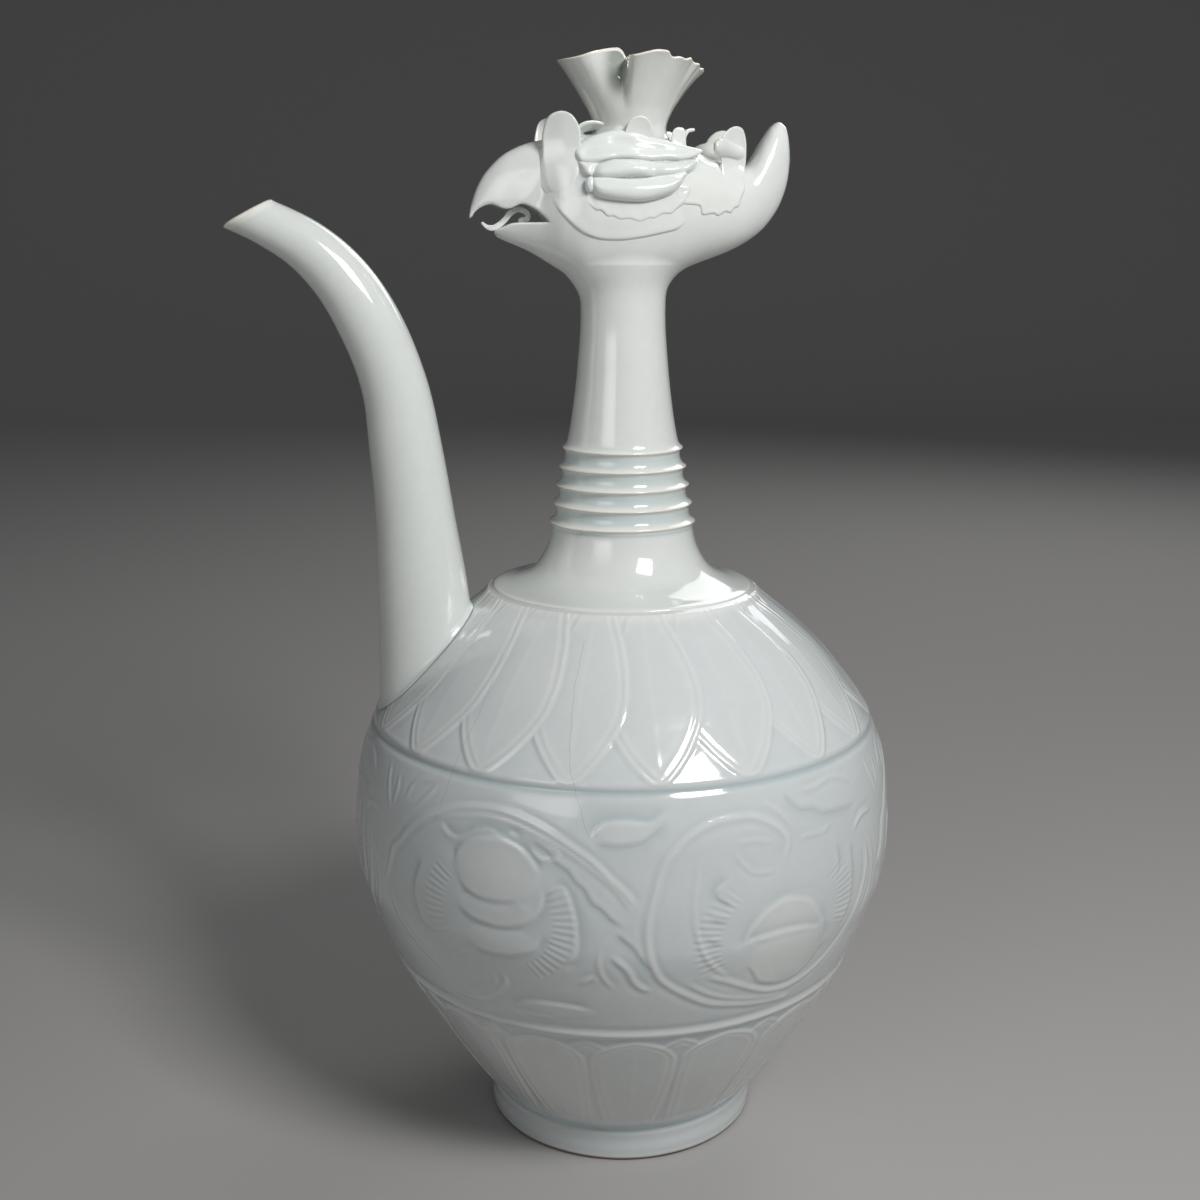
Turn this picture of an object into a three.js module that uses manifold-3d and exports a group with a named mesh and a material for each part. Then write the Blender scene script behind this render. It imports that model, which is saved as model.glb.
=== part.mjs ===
// Phoenix-head ewer in pale blue-green glazed porcelain, in millimetres, +Z up, beak and spout towards -X.
// The potter throws the body in three rings, throws the neck, rolls the spout, presses the head in two
// halves, throws the crown cup and lutes on the leaves, feathers and slip patches one by one.
import * as THREE from "three";
import { mergeVertices } from "three/addons/utils/BufferGeometryUtils.js";
import Module from "manifold-3d";

const wasm = await Module();
wasm.setup();

// Body: foot, belly and shoulder
const footRadius = 50.8;
const footHeight = 12;
const footRingWidth = 8;
const footRecessDepth = 5;
const footBevel = 1;
const floorThickness = 7;
const bodyRadius = 100.5;
const bodyWidestHeight = 119;
const bodyHeight = 205.5;
const bodyWall = 5;
const lowerLineHeight = 70.5;
const shoulderBandHeight = 47;
const shoulderLedge = 1.6;
const throatRadius = 21;

// Neck: a spreading disc, five ribs and a waisted tube
const neckDiscRadius = 47.5;
const neckDiscEdge = 1.5;
const neckWaistRadius = 15;
const neckHeight = 106.5;
const neckWall = 4.2;
const ribCount = 5;
const ribPitch = 6.65;
const ribRise = 1.3;
const ribWidth = 3.4;
const firstRibHeight = 24.7;

// Spout: a tapering tube that rises from the shoulder and bends outwards
const spoutGap = 8;
const spoutReach = 65.5;
const spoutRise = 156;
const spoutFootRadius = 17;
const spoutTipRadius = 7;
const spoutWall = 2.7;
const spoutMouthTilt = 28;

// Head: hooked beak, skull and tail crest
const beakReach = 54.4;
const headLength = 114.6;
const headHeight = 57.7;
const headHalfWidth = 20.5;
const headWall = 4.5;
const collarRise = 8;
const collarSpread = 2.4;
const crownBoreRadius = 8;

// Crown cup: the ruffled filling mouth
const crownOffset = 2.3;
const crownBaseRadius = 11.8;
const crownRimRadius = 25.6;
const crownRise = 24.6;
const crownWall = 2;
const crownSink = 9;

// Clay leaves, feathers and slip patches
const leafThickness = 1.6;
const browLeafWidth = 12.8;
const browLeafHeight = 13;
const rearLeafWidth = 7;
const rearLeafLength = 12.5;
const rearLeafArch = 4.4;
const crownPetalWidth = 9;
const crownPetalHeight = 8.6;
const tabWidth = 4.8;
const tabHeight = 7;
const tabSetback = 2;
const curlWidth = 2.2;
const curlHeight = 6;
const curlReach = 4;
const curlSetback = 5.8;
const napeLeafWidth = 12.6;
const napeLeafHeight = 13.5;
const upperFeatherWidth = 11.2;
const middleFeatherWidth = 6.4;
const lowerFeatherWidth = 6.4;
const featherThickness = 3.4;
const beadHeight = 5.4;
const beadWidth = 3.8;
const collarThickness = 1.3;
const ruffThickness = 2.3;
const napePatchThickness = 1.3;
const tongueWidth = 4;
const tongueThickness = 1;

// Fits and drawing steps
const lutingGap = 0.3;
const cutOverrun = 6;
const weldDistance = 0.001;
const slopeStep = 0.5;
const bodySegments = 48;
const neckSegments = 28;
const crownSegments = 36;
const tubeSides = 14;
const headSides = 20;
const leafSides = 6;

const degree = Math.PI / 180;
const left = -1;

// Places along a size, each with the share that the radius, width or height has there.
const bellyShares = [[0, 0], [0.17, 0.26], [0.36, 0.52], [0.55, 0.735], [0.74, 0.9], [0.88, 0.985], [1, 1]];
const shoulderShares = [
  [0, 1], [0.23, 0.968], [0.45, 0.86], [0.66, 0.615], [0.77, 0.455], [0.89, 0.23], [1, 0],
];
const neckShares = [
  [0.014, 1], [0.03, 0.77], [0.056, 0.585], [0.09, 0.477], [0.16, 0.363], [0.2, 0.33],
  [0.33, 0.25], [0.46, 0.18], [0.6, 0.098], [0.76, 0.037], [0.92, 0.003], [1, 0.006],
];
const spoutRouteShares = [
  [0, -0.13], [0, 0.05], [0.04, 0.3], [0.08, 0.457], [0.13, 0.6], [0.23, 0.722],
  [0.38, 0.832], [0.55, 0.905], [0.75, 0.955], [1, 1],
];
const spoutRadiusShares = [
  [0, 1.05], [0.12, 1], [0.19, 0.94], [0.345, 0.69], [0.465, 0.57], [0.6, 0.43],
  [0.68, 0.4], [0.785, 0.28], [0.88, 0.12], [0.95, 0.03], [1, 0],
];
const spoutMouthShare = 0.955;
const headTopShares = [
  [0, 0.43], [0.013, 0.555], [0.057, 0.7], [0.119, 0.808], [0.195, 0.867], [0.3, 0.9], [0.48, 0.924],
  [0.585, 0.9], [0.673, 0.84], [0.761, 0.763], [0.83, 0.73], [0.856, 0.747], [0.909, 0.906],
  [0.934, 0.975], [0.955, 1], [0.975, 0.98], [0.99, 0.9], [1, 0.785],
];
const headBottomShares = [
  [0, 0.42], [0.055, 0.36], [0.091, 0.312], [0.173, 0.243], [0.275, 0.125], [0.35, 0.035], [0.48, 0.01],
  [0.6, 0.07], [0.685, 0.147], [0.814, 0.243], [0.9, 0.345], [0.957, 0.482], [0.985, 0.62], [1, 0.76],
];
const headWidthShares = [
  [0, 0.07], [0.033, 0.17], [0.085, 0.31], [0.155, 0.44], [0.21, 0.57], [0.28, 0.81], [0.37, 0.95], [0.47, 1],
  [0.6, 0.97], [0.7, 0.86], [0.8, 0.69], [0.88, 0.51], [0.94, 0.37], [0.98, 0.23], [1, 0.08],
];
const headStationShares = [
  0, 0.013, 0.04, 0.08, 0.13, 0.18, 0.23, 0.285, 0.35, 0.42, 0.5, 0.58, 0.66, 0.74, 0.8, 0.845, 0.88,
  0.92, 0.955, 0.98, 1,
];
const hollowStationShares = [0.32, 0.37, 0.46, 0.56, 0.66, 0.74, 0.79];
const collarFlareShares = [[0, 0.05], [0.4, 0.25], [0.75, 0.7], [1, 1]];
const headRoundness = 2.3;
const mouthShares = [
  [-0.04, 0.449], [0.034, 0.492], [0.068, 0.505], [0.1, 0.482], [0.122, 0.48], [0.158, 0.506], [0.197, 0.471],
  [0.229, 0.409], [0.219, 0.402], [0.137, 0.4], [0.107, 0.381], [0.078, 0.354], [0.075, 0.3], [-0.04, 0.27],
];
const tongueShares = [
  [0.044, 0.397], [0.057, 0.376], [0.074, 0.37], [0.097, 0.394], [0.114, 0.426], [0.128, 0.458],
  [0.153, 0.479], [0.177, 0.457], [0.179, 0.425], [0.16, 0.414],
];
const ruffShares = [
  [0.318, 0.548], [0.354, 0.47], [0.375, 0.462], [0.393, 0.43], [0.412, 0.43], [0.429, 0.412], [0.46, 0.415],
  [0.49, 0.4], [0.52, 0.42], [0.535, 0.418], [0.56, 0.445], [0.585, 0.447], [0.605, 0.48], [0.6, 0.535],
];
const collarShares = [
  [0.238, 0.59], [0.237, 0.535], [0.255, 0.466], [0.285, 0.4], [0.324, 0.338], [0.369, 0.305], [0.43, 0.297],
  [0.49, 0.31], [0.55, 0.333], [0.612, 0.367], [0.642, 0.447], [0.6, 0.535], [0.318, 0.548], [0.27, 0.62],
];
const napePatchShares = [
  [0.6, 0.563], [0.617, 0.51], [0.65, 0.502], [0.676, 0.492], [0.684, 0.445], [0.72, 0.452], [0.735, 0.44],
  [0.76, 0.463], [0.778, 0.458], [0.79, 0.485], [0.805, 0.497], [0.812, 0.54], [0.827, 0.6], [0.826, 0.65],
  [0.822, 0.69], [0.75, 0.7], [0.66, 0.69], [0.61, 0.64],
];

const upperFeatherShares = [[0.303, 0.79], [0.435, 0.86], [0.567, 0.825], [0.69, 0.8]];
const middleFeatherShares = [[0.312, 0.685], [0.435, 0.7], [0.55, 0.693], [0.664, 0.737]];
const lowerFeatherShares = [[0.33, 0.6], [0.435, 0.588], [0.506, 0.59], [0.6, 0.633]];
const beadPlaceShares = [0.322, 0.62];
const browLeafPlaceShares = [0.266, 0.79];
const rearLeafPlaceShares = [0.312, 0.885];
const petalPlaceShares = [0.49, 0.87];
const napeLeafPlaceShares = [0.8, 0.71];
const tabRiseShare = 0.85;
const curlRiseShare = 0.92;

// The seams follow the foot and the shoulder, and the spout stands clear of the neck's disc.
const upperLineHeight = bodyHeight - shoulderBandHeight;
const spoutOffset = neckDiscRadius + spoutGap + spoutFootRadius;
const headSeat = bodyHeight + neckHeight;

// Geometry helpers

// Smooth value at a place along [place, value] pairs, with no overshoot between them.
function valueAlong(pairs, place) {
  const last = pairs.length - 1;
  if (place <= pairs[0][0]) return pairs[0][1];
  if (place >= pairs[last][0]) return pairs[last][1];
  let k = 0;
  while (place > pairs[k + 1][0]) k += 1;
  const slope = (i) => (pairs[i + 1][1] - pairs[i][1]) / (pairs[i + 1][0] - pairs[i][0]);
  const tangent = (i) => {
    if (i === 0) return slope(0);
    if (i === last) return slope(last - 1);
    const before = slope(i - 1);
    const after = slope(i);
    return before * after <= 0 ? 0 : (2 * before * after) / (before + after);
  };
  const span = pairs[k + 1][0] - pairs[k][0];
  const u = (place - pairs[k][0]) / span;
  const rise = pairs[k + 1][1] - pairs[k][1];
  const start = tangent(k) * span;
  const end = tangent(k + 1) * span;
  const curve = 3 * rise - 2 * start - end;
  const twist = start + end - 2 * rise;
  return pairs[k][1] + u * (start + u * (curve + u * twist));
}

function evenly(count, from, to) {
  return Array.from({ length: count + 1 }, (_, i) => from + ((to - from) * i) / count);
}

// A turned piece: the profile runs up the outside and back down the inside.
function turned(profile, segments) {
  const points = profile.map(([radius, height]) => new THREE.Vector2(radius, height));
  return new THREE.LatheGeometry(points, segments).rotateX(Math.PI / 2);
}

// A skin over rings of points. Ends are closed by a fan, or a looped skin runs back into its first ring.
function lofted(rings, looped = false) {
  const sides = rings[0].length;
  const positions = [];
  const index = [];
  for (const point of rings.flat()) positions.push(point.x, point.y, point.z);
  const bands = looped ? rings.length : rings.length - 1;
  for (let r = 0; r < bands; r += 1) {
    const here = r * sides;
    const next = ((r + 1) % rings.length) * sides;
    for (let s = 0; s < sides; s += 1) {
      const t = (s + 1) % sides;
      index.push(here + s, here + t, next + t, here + s, next + t, next + s);
    }
  }
  for (const end of looped ? [] : [0, rings.length - 1]) {
    const middle = rings[end].reduce((sum, p) => sum.add(p), new THREE.Vector3()).divideScalar(sides);
    const centre = positions.length / 3;
    positions.push(middle.x, middle.y, middle.z);
    for (let s = 0; s < sides; s += 1) {
      const here = end * sides + s;
      const next = end * sides + ((s + 1) % sides);
      index.push(centre, ...(end ? [here, next] : [next, here]));
    }
  }
  const geometry = new THREE.BufferGeometry();
  geometry.setAttribute("position", new THREE.Float32BufferAttribute(positions, 3));
  geometry.setIndex(index);
  return geometry;
}

function solidOf(geometry) {
  const bare = new THREE.BufferGeometry();
  bare.setAttribute("position", geometry.getAttribute("position"));
  if (geometry.index) bare.setIndex(geometry.index);
  const merged = mergeVertices(bare, weldDistance);
  return new wasm.Manifold(
    new wasm.Mesh({
      numProp: 3,
      vertProperties: merged.attributes.position.array,
      triVerts: merged.index.array,
    }),
  );
}

function geometryOf(solid) {
  const mesh = solid.getMesh();
  const positions = new Float32Array(mesh.numVert * 3);
  for (let v = 0; v < mesh.numVert; v += 1) {
    positions.set(mesh.vertProperties.subarray(v * mesh.numProp, v * mesh.numProp + 3), v * 3);
  }
  const geometry = new THREE.BufferGeometry();
  geometry.setAttribute("position", new THREE.BufferAttribute(positions, 3));
  geometry.setIndex(new THREE.BufferAttribute(mesh.triVerts, 1));
  geometry.computeVertexNormals();
  return geometry;
}

// Body

// Radius of the dome's edge, where the neck's disc rests on it inside a narrow ledge
const shoulderRadius = neckDiscRadius + shoulderLedge;

function bodyRadiusAt(height) {
  if (height <= bodyWidestHeight) {
    const share = valueAlong(bellyShares, (height - footHeight) / (bodyWidestHeight - footHeight));
    return footRadius + (bodyRadius - footRadius) * share;
  }
  const share = valueAlong(shoulderShares, (height - bodyWidestHeight) / (bodyHeight - bodyWidestHeight));
  return shoulderRadius + (bodyRadius - shoulderRadius) * share;
}

// How far a wall of that thickness reaches sideways where the body slopes
function sidewaysReach(thickness, height) {
  const lower = Math.max(height - slopeStep, footHeight);
  const upper = Math.min(height + slopeStep, bodyHeight);
  const slope = (bodyRadiusAt(upper) - bodyRadiusAt(lower)) / (upper - lower);
  return thickness * Math.hypot(1, slope);
}

function outsidePoint(height) {
  return [bodyRadiusAt(height), height];
}

function insidePoint(height) {
  return [bodyRadiusAt(height) - sidewaysReach(bodyWall, height), height];
}

// Height at which the shoulder has a given radius
function shoulderHeightAt(radius) {
  let low = bodyWidestHeight;
  let high = bodyHeight;
  while (high - low > weldDistance) {
    const middle = (low + high) / 2;
    if (bodyRadiusAt(middle) > radius) low = middle;
    else high = middle;
  }
  return low;
}

// Thrown bowl with its turned foot ring and the recess under it
function lowerBody() {
  const floorTop = footRecessDepth + floorThickness;
  const recessRadius = footRadius - footRingWidth;
  return turned(
    [
      [0, footRecessDepth],
      [recessRadius, footRecessDepth],
      [recessRadius + footBevel, 0],
      [footRadius - footBevel, 0],
      [footRadius, footBevel],
      [footRadius, footHeight],
      ...evenly(7, footHeight, lowerLineHeight).slice(1).map(outsidePoint),
      ...evenly(5, lowerLineHeight, floorTop + bodyWall).map(insidePoint),
      [recessRadius - bodyWall, floorTop],
      [0, floorTop],
    ],
    bodySegments,
  );
}

// Widest ring, which carries the scroll band
function middleBody() {
  const outside = evenly(6, lowerLineHeight, upperLineHeight).map(outsidePoint);
  const inside = evenly(4, upperLineHeight, lowerLineHeight).map(insidePoint);
  return turned([...outside, ...inside, outside[0]], bodySegments);
}

// Domed shoulder with the throat under the neck and the hole under the spout
function upperBody() {
  const ceiling = bodyHeight - bodyWall;
  const outside = evenly(7, upperLineHeight, bodyHeight).map(outsidePoint);
  const inside = evenly(4, ceiling, upperLineHeight).map(insidePoint);
  const dome = turned(
    [...outside, [throatRadius, bodyHeight], [throatRadius, ceiling], ...inside, outside[0]],
    bodySegments,
  );
  return geometryOf(solidOf(dome).subtract(solidOf(spoutTube(-spoutWall))));
}

// The filled shoulder, a luting gap larger than the real one
function shoulderKeepOut() {
  const outside = evenly(14, bodyWidestHeight, bodyHeight).map((height) => [
    bodyRadiusAt(height) + sidewaysReach(lutingGap, height),
    height,
  ]);
  const top = bodyHeight + lutingGap;
  return solidOf(turned([[0, bodyWidestHeight], ...outside, [shoulderRadius, top], [0, top]], bodySegments));
}

// Neck

function neckRadiusAt(share) {
  return neckWaistRadius + (neckDiscRadius - neckWaistRadius) * valueAlong(neckShares, share);
}

function neckPoint(height, extra = 0) {
  return [neckRadiusAt(height / neckHeight) + extra, bodyHeight + height];
}

// Thrown neck: disc, ribs and tube in one, bored through
function neckPiece() {
  const ribShares = [[-0.5, 0], [-0.18, 0.9], [0.18, 0.9], [0.5, 0]];
  const ribs = [];
  for (let rib = 0; rib < ribCount; rib += 1) {
    for (const [across, out] of ribShares) {
      ribs.push(neckPoint(firstRibHeight + rib * ribPitch + across * ribWidth, out * ribRise));
    }
  }
  const lastRib = firstRibHeight + (ribCount - 1) * ribPitch + ribWidth;
  const flare = evenly(4, neckDiscEdge, firstRibHeight - ribWidth).map((height) => neckPoint(height));
  const tube = evenly(4, lastRib, neckHeight).map((height) => neckPoint(height));
  const bore = evenly(5, neckHeight, neckDiscEdge + neckWall).map((height) => [
    Math.min(neckRadiusAt(height / neckHeight) - neckWall, throatRadius),
    bodyHeight + height,
  ]);
  const foot = [throatRadius, bodyHeight];
  const edge = [neckDiscRadius, bodyHeight];
  return turned([foot, edge, ...flare, ...ribs, ...tube, ...bore, foot], neckSegments);
}

// Spout

const spoutFootHeight = shoulderHeightAt(spoutOffset);
const spoutRoute = new THREE.CatmullRomCurve3(
  spoutRouteShares.map(
    ([out, up]) => new THREE.Vector3(-spoutOffset - out * spoutReach, 0, spoutFootHeight + up * spoutRise),
  ),
  false,
  "centripetal",
);

function spoutRing(share, growth) {
  const centre = spoutRoute.getPointAt(share);
  const travel = spoutRoute.getTangentAt(share);
  const sideways = new THREE.Vector3(0, 1, 0);
  const outward = new THREE.Vector3().crossVectors(sideways, travel);
  const taper = valueAlong(spoutRadiusShares, share);
  const radius = spoutTipRadius + (spoutFootRadius - spoutTipRadius) * taper + growth;
  return evenly(tubeSides, 0, 2 * Math.PI)
    .slice(0, -1)
    .map((angle) =>
      centre
        .clone()
        .addScaledVector(outward, radius * Math.cos(angle))
        .addScaledVector(sideways, radius * Math.sin(angle)),
    );
}

// The spout's route as a filled tube, made thicker or thinner by the growth
function spoutTube(growth) {
  return lofted(evenly(20, 0, 1).map((share) => spoutRing(share, growth)));
}

// Tapering tube seated on the shoulder, its mouth cut at a slant that leaves a pouring lip below
function spoutPiece() {
  const middle = spoutRoute.getPointAt(spoutMouthShare);
  const side = 2 * (spoutFootRadius + cutOverrun);
  const cutter = new THREE.BoxGeometry(side, side, side)
    .translate(0, 0, side / 2)
    .rotateY(-spoutMouthTilt * degree)
    .translate(middle.x, middle.y, middle.z);
  const tube = solidOf(spoutTube(0)).subtract(solidOf(cutter));
  return geometryOf(tube.subtract(solidOf(spoutTube(-spoutWall))).subtract(shoulderKeepOut()));
}

// Head

function headX(along) {
  return along * headLength - beakReach;
}

function headZ(up) {
  return headSeat + up * headHeight;
}

// Section of the head at a share of its length: half width, middle height and half height
function headSection(along, growth) {
  const top = headZ(valueAlong(headTopShares, along)) + growth;
  const bottom = headZ(valueAlong(headBottomShares, along)) - growth;
  const halfWidth = headHalfWidth * valueAlong(headWidthShares, along) + growth;
  return { halfWidth, middle: (top + bottom) / 2, halfHeight: (top - bottom) / 2 };
}

function bulge(value) {
  return Math.sign(value) * Math.abs(value) ** (2 / headRoundness);
}

function headRing(along, growth, lengthwise) {
  const { halfWidth, middle, halfHeight } = headSection(along, growth);
  return evenly(headSides, 0, 2 * Math.PI)
    .slice(0, -1)
    .map(
      (angle) =>
        new THREE.Vector3(
          headX(along) + lengthwise,
          halfWidth * bulge(Math.cos(angle)),
          middle + halfHeight * bulge(Math.sin(angle)),
        ),
    );
}

function headSkin(growth, stationShares) {
  return solidOf(
    lofted(
      stationShares.map((along, i) => {
        const last = i === stationShares.length - 1;
        return headRing(along, growth, growth * (last - (i === 0)));
      }),
    ),
  );
}

// Flared collar under the skull, where the head is luted to the neck
function headCollar(growth) {
  const edge = neckRadiusAt(1);
  const flare = collarFlareShares.map(([up, out]) => [
    edge + collarSpread * out + growth,
    headSeat + up * collarRise,
  ]);
  return solidOf(turned([[0, headSeat], ...flare, [0, headSeat + collarRise]], neckSegments));
}

// The whole outside of the head, larger by the growth
function headOutside(growth) {
  const below = new THREE.BoxGeometry(2 * headLength, 2 * headLength, headLength).translate(
    0,
    0,
    headSeat - headLength / 2,
  );
  return headSkin(growth, headStationShares).add(headCollar(growth)).subtract(solidOf(below));
}

// A flat outline in head shares, given depth from just past the median plane to the left
function headPrism(outlineShares) {
  const outline = outlineShares.map(([along, up]) => new THREE.Vector2(headX(along), headZ(up)));
  const shape = new THREE.Shape(outline);
  const depth = headHalfWidth + cutOverrun;
  const slab = new THREE.ExtrudeGeometry(shape, { depth, bevelEnabled: false });
  return solidOf(slab.rotateX(Math.PI / 2).translate(0, lutingGap, 0));
}

// Straight bore on the pot's axis
function bore(radius, from, to, offset) {
  return solidOf(
    new THREE.CylinderGeometry(radius, radius, to - from, neckSegments)
      .rotateX(Math.PI / 2)
      .translate(offset, 0, (from + to) / 2),
  );
}

// Press-moulded half: outside less the mouth, the hollow and the two bores, cut on the median plane
function headHalf() {
  const hollow = headSkin(-headWall, hollowStationShares);
  const hollowMiddle = headSection(0.5, 0).middle;
  const neckBore = bore(neckRadiusAt(1) - neckWall, headSeat - cutOverrun, hollowMiddle, 0);
  const crownBore = bore(crownBoreRadius, hollowMiddle, headZ(1) + cutOverrun, crownOffset);
  const otherSide = new THREE.BoxGeometry(4 * headLength, 4 * headLength, 4 * headLength).translate(
    0,
    2 * headLength,
    headZ(0),
  );
  return geometryOf(
    headOutside(0)
      .subtract(headPrism(mouthShares))
      .subtract(hollow)
      .subtract(neckBore)
      .subtract(crownBore)
      .subtract(solidOf(otherSide)),
  );
}

// Point on the left of the head, moved outwards by the stand-off
function onHead(along, up, standOff) {
  const { halfWidth, middle, halfHeight } = headSection(along, 0);
  const rise = Math.min(Math.abs(headZ(up) - middle) / halfHeight, 1);
  const out = halfWidth * (1 - rise ** headRoundness) ** (1 / headRoundness);
  return new THREE.Vector3(headX(along), left * (out + standOff), headZ(up));
}

// Point on the left of the head behind the foot of the crown cup, at a share of the section's half height
function behindCrown(setback, riseShare, standOff) {
  const along = (beakReach + crownOffset + crownBaseRadius + setback) / headLength;
  const { middle, halfHeight } = headSection(along, 0);
  return onHead(along, (middle + riseShare * halfHeight - headSeat) / headHeight, standOff);
}

// Crown cup

// Folds of the rim: place round the cup, how deep it draws in, how high it lifts or drops, how wide it is
const crownFolds = [
  { azimuth: 254, inShare: 0.4, upShare: -0.15, spread: 11 },
  { azimuth: 238, inShare: -0.04, upShare: 0.11, spread: 14 },
  { azimuth: 281, inShare: -0.04, upShare: 0.02, spread: 10 },
  { azimuth: 297, inShare: 0.07, upShare: -0.04, spread: 8 },
  { azimuth: 335, inShare: 0.07, upShare: -0.06, spread: 8 },
  { azimuth: 355, inShare: 0.01, upShare: -0.08, spread: 16 },
  { azimuth: 28, inShare: 0.14, upShare: -0.03, spread: 12 },
  { azimuth: 76, inShare: 0.26, upShare: -0.1, spread: 13 },
  { azimuth: 122, inShare: 0.12, upShare: 0, spread: 12 },
];
const foldStartShare = 0.35;
const crownFlareShares = [[0, 0], [0.3, 0.03], [0.46, 0.17], [0.6, 0.36], [0.78, 0.63], [0.94, 0.89], [1, 1]];

function foldedBy(angle, key) {
  let sum = 0;
  for (const fold of crownFolds) {
    const turn = Math.atan2(Math.sin(angle - fold.azimuth * degree), Math.cos(angle - fold.azimuth * degree));
    sum += fold[key] * Math.exp(-((turn / (fold.spread * degree)) ** 2));
  }
  return sum;
}

function crownRing(share, growth) {
  const base = headZ(valueAlong(headTopShares, (beakReach + crownOffset) / headLength)) - crownSink;
  const height = crownRise + crownSink;
  const flare = valueAlong(crownFlareShares, share);
  const drawn = Math.max(share - foldStartShare, 0) / (1 - foldStartShare);
  return evenly(crownSegments, 0, 2 * Math.PI)
    .slice(0, -1)
    .map((angle) => {
      const radius = crownBaseRadius + (crownRimRadius - crownBaseRadius) * flare;
      const out = radius * (1 - foldedBy(angle, "inShare") * drawn ** 1.5) + growth;
      const lift = foldedBy(angle, "upShare") * drawn * drawn * crownRise;
      return new THREE.Vector3(
        crownOffset + out * Math.cos(angle),
        out * Math.sin(angle),
        base + height * share + lift,
      );
    });
}

// Thrown trumpet with a folded rim, open at both ends and seated on the skull
function crownCup() {
  const outside = evenly(7, 0, 1).map((share) => crownRing(share, 0));
  const inside = evenly(5, 1, 0).map((share) => crownRing(share, -crownWall));
  return geometryOf(solidOf(lofted([...outside, ...inside], true)).subtract(headOutside(lutingGap)));
}

function crownKeepOut() {
  return solidOf(lofted(evenly(5, 0, 0.8).map((share) => crownRing(share, lutingGap))));
}

// Applied clay

// A leaf bent along its spine: half-width shares along it, thickness across it, edges curled by the cup.
// The growth makes it larger all round.
function leafSolid({ spine, across, width, thickness, widthShares, cup = 0, stations = 6 }, growth) {
  const route = new THREE.CatmullRomCurve3(spine, false, "centripetal");
  const rings = evenly(stations, 0, 1).map((share) => {
    const travel = route.getTangentAt(share);
    const centre = route.getPointAt(share).addScaledVector(travel, growth * (2 * share - 1));
    const sideways = across.clone().addScaledVector(travel, -across.dot(travel)).normalize();
    const facing = new THREE.Vector3().crossVectors(travel, sideways);
    const half = (width / 2) * valueAlong(widthShares, share) + growth;
    return evenly(leafSides, 0, 2 * Math.PI)
      .slice(0, -1)
      .map((angle) => {
        const lateral = Math.cos(angle);
        const lift = (thickness / 2 + growth) * Math.sin(angle) + cup * half * lateral * lateral;
        return centre.clone().addScaledVector(sideways, half * lateral).addScaledVector(facing, lift);
      });
  });
  return solidOf(lofted(rings));
}

const roundLeafShares = [[0, 0.8], [0.35, 1], [0.7, 0.93], [0.9, 0.6], [1, 0.2]];
const longLeafShares = [[0, 0.3], [0.1, 0.75], [0.35, 1], [0.7, 0.8], [0.9, 0.45], [1, 0.12]];
const stripShares = [[0, 1], [0.6, 0.9], [1, 0.5]];
const tongueWidthShares = [[0, 0.35], [0.2, 0.8], [0.5, 1], [1, 0.9]];
const backwards = new THREE.Vector3(1, 0, 0);
const upwards = new THREE.Vector3(0, 0, 1);
const outwards = new THREE.Vector3(0, left, 0);

// An upright leaf that grows from its root on the head and leans by the given amounts at its tip
function uprightLeaf({ root, height, width, leanOut, leanBack, cup = 0 }) {
  const step = (back, out, rise) => root.clone().add(new THREE.Vector3(back, left * out, rise));
  const sunk = step(0, 0, -height / 3);
  const middle = step(leanBack / 4, leanOut / 3, height / 2);
  const tip = step(leanBack, leanOut, height);
  return (growth) =>
    leafSolid(
      {
        spine: [sunk, root, middle, tip],
        across: backwards,
        width,
        thickness: leafThickness,
        widthShares: roundLeafShares,
        cup,
      },
      growth,
    );
}

// Low arched leaf behind the brow, its far end curling back down
function browRearLeaf(growth) {
  const front = onHead(...rearLeafPlaceShares, -leafThickness);
  const step = (back, rise) => {
    return front.clone().add(new THREE.Vector3(back * rearLeafLength, 0, rise * rearLeafArch));
  };
  return leafSolid(
    {
      spine: [step(-0.16, -0.5), front, step(0.5, 1), step(1, 0.5)],
      across: outwards,
      width: rearLeafWidth,
      thickness: leafThickness,
      widthShares: roundLeafShares,
      cup: -0.15,
    },
    growth,
  );
}

// Thin strip that rises and curls backwards
function napeCurl(growth) {
  const root = behindCrown(curlSetback, curlRiseShare, -leafThickness);
  const step = (back, rise) => root.clone().add(new THREE.Vector3(back * curlReach, 0, rise * curlHeight));
  return leafSolid(
    {
      spine: [step(-0.1, -0.4), step(0, 0), step(0.15, 0.55), step(0.55, 0.9), step(1, 1)],
      across: outwards,
      width: curlWidth,
      thickness: leafThickness,
      widthShares: stripShares,
    },
    growth,
  );
}

// Long cupped feather along the side of the skull
function feather(placeShares, width) {
  return (growth) =>
    leafSolid(
      {
        spine: placeShares.map(([along, up]) => onHead(along, up, featherThickness / 2)),
        across: upwards,
        width,
        thickness: featherThickness,
        widthShares: longLeafShares,
        cup: -0.12,
        stations: 8,
      },
      growth,
    );
}

// Small pellet of clay at the front of the lowest feather
function earBead(growth) {
  return solidOf(
    new THREE.SphereGeometry(beadWidth / 2 + growth, 8, 6)
      .scale(1, 1, beadHeight / beadWidth)
      .translate(...onHead(...beadPlaceShares, beadWidth / 4).toArray()),
  );
}

// A patch of slip with a cut outline that follows the head's surface
function slipPatch(outlineShares, thickness) {
  return (growth) => headOutside(lutingGap + thickness + growth).intersect(headPrism(outlineShares));
}

// Curled strip of clay that lies on the lower beak and loops in the open mouth
function tongue() {
  return leafSolid(
    {
      spine: tongueShares.map(([along, up]) => new THREE.Vector3(headX(along), 0, headZ(up))),
      across: outwards,
      width: tongueWidth,
      thickness: tongueThickness,
      widthShares: tongueWidthShares,
      stations: 18,
    },
    0,
  );
}

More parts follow.
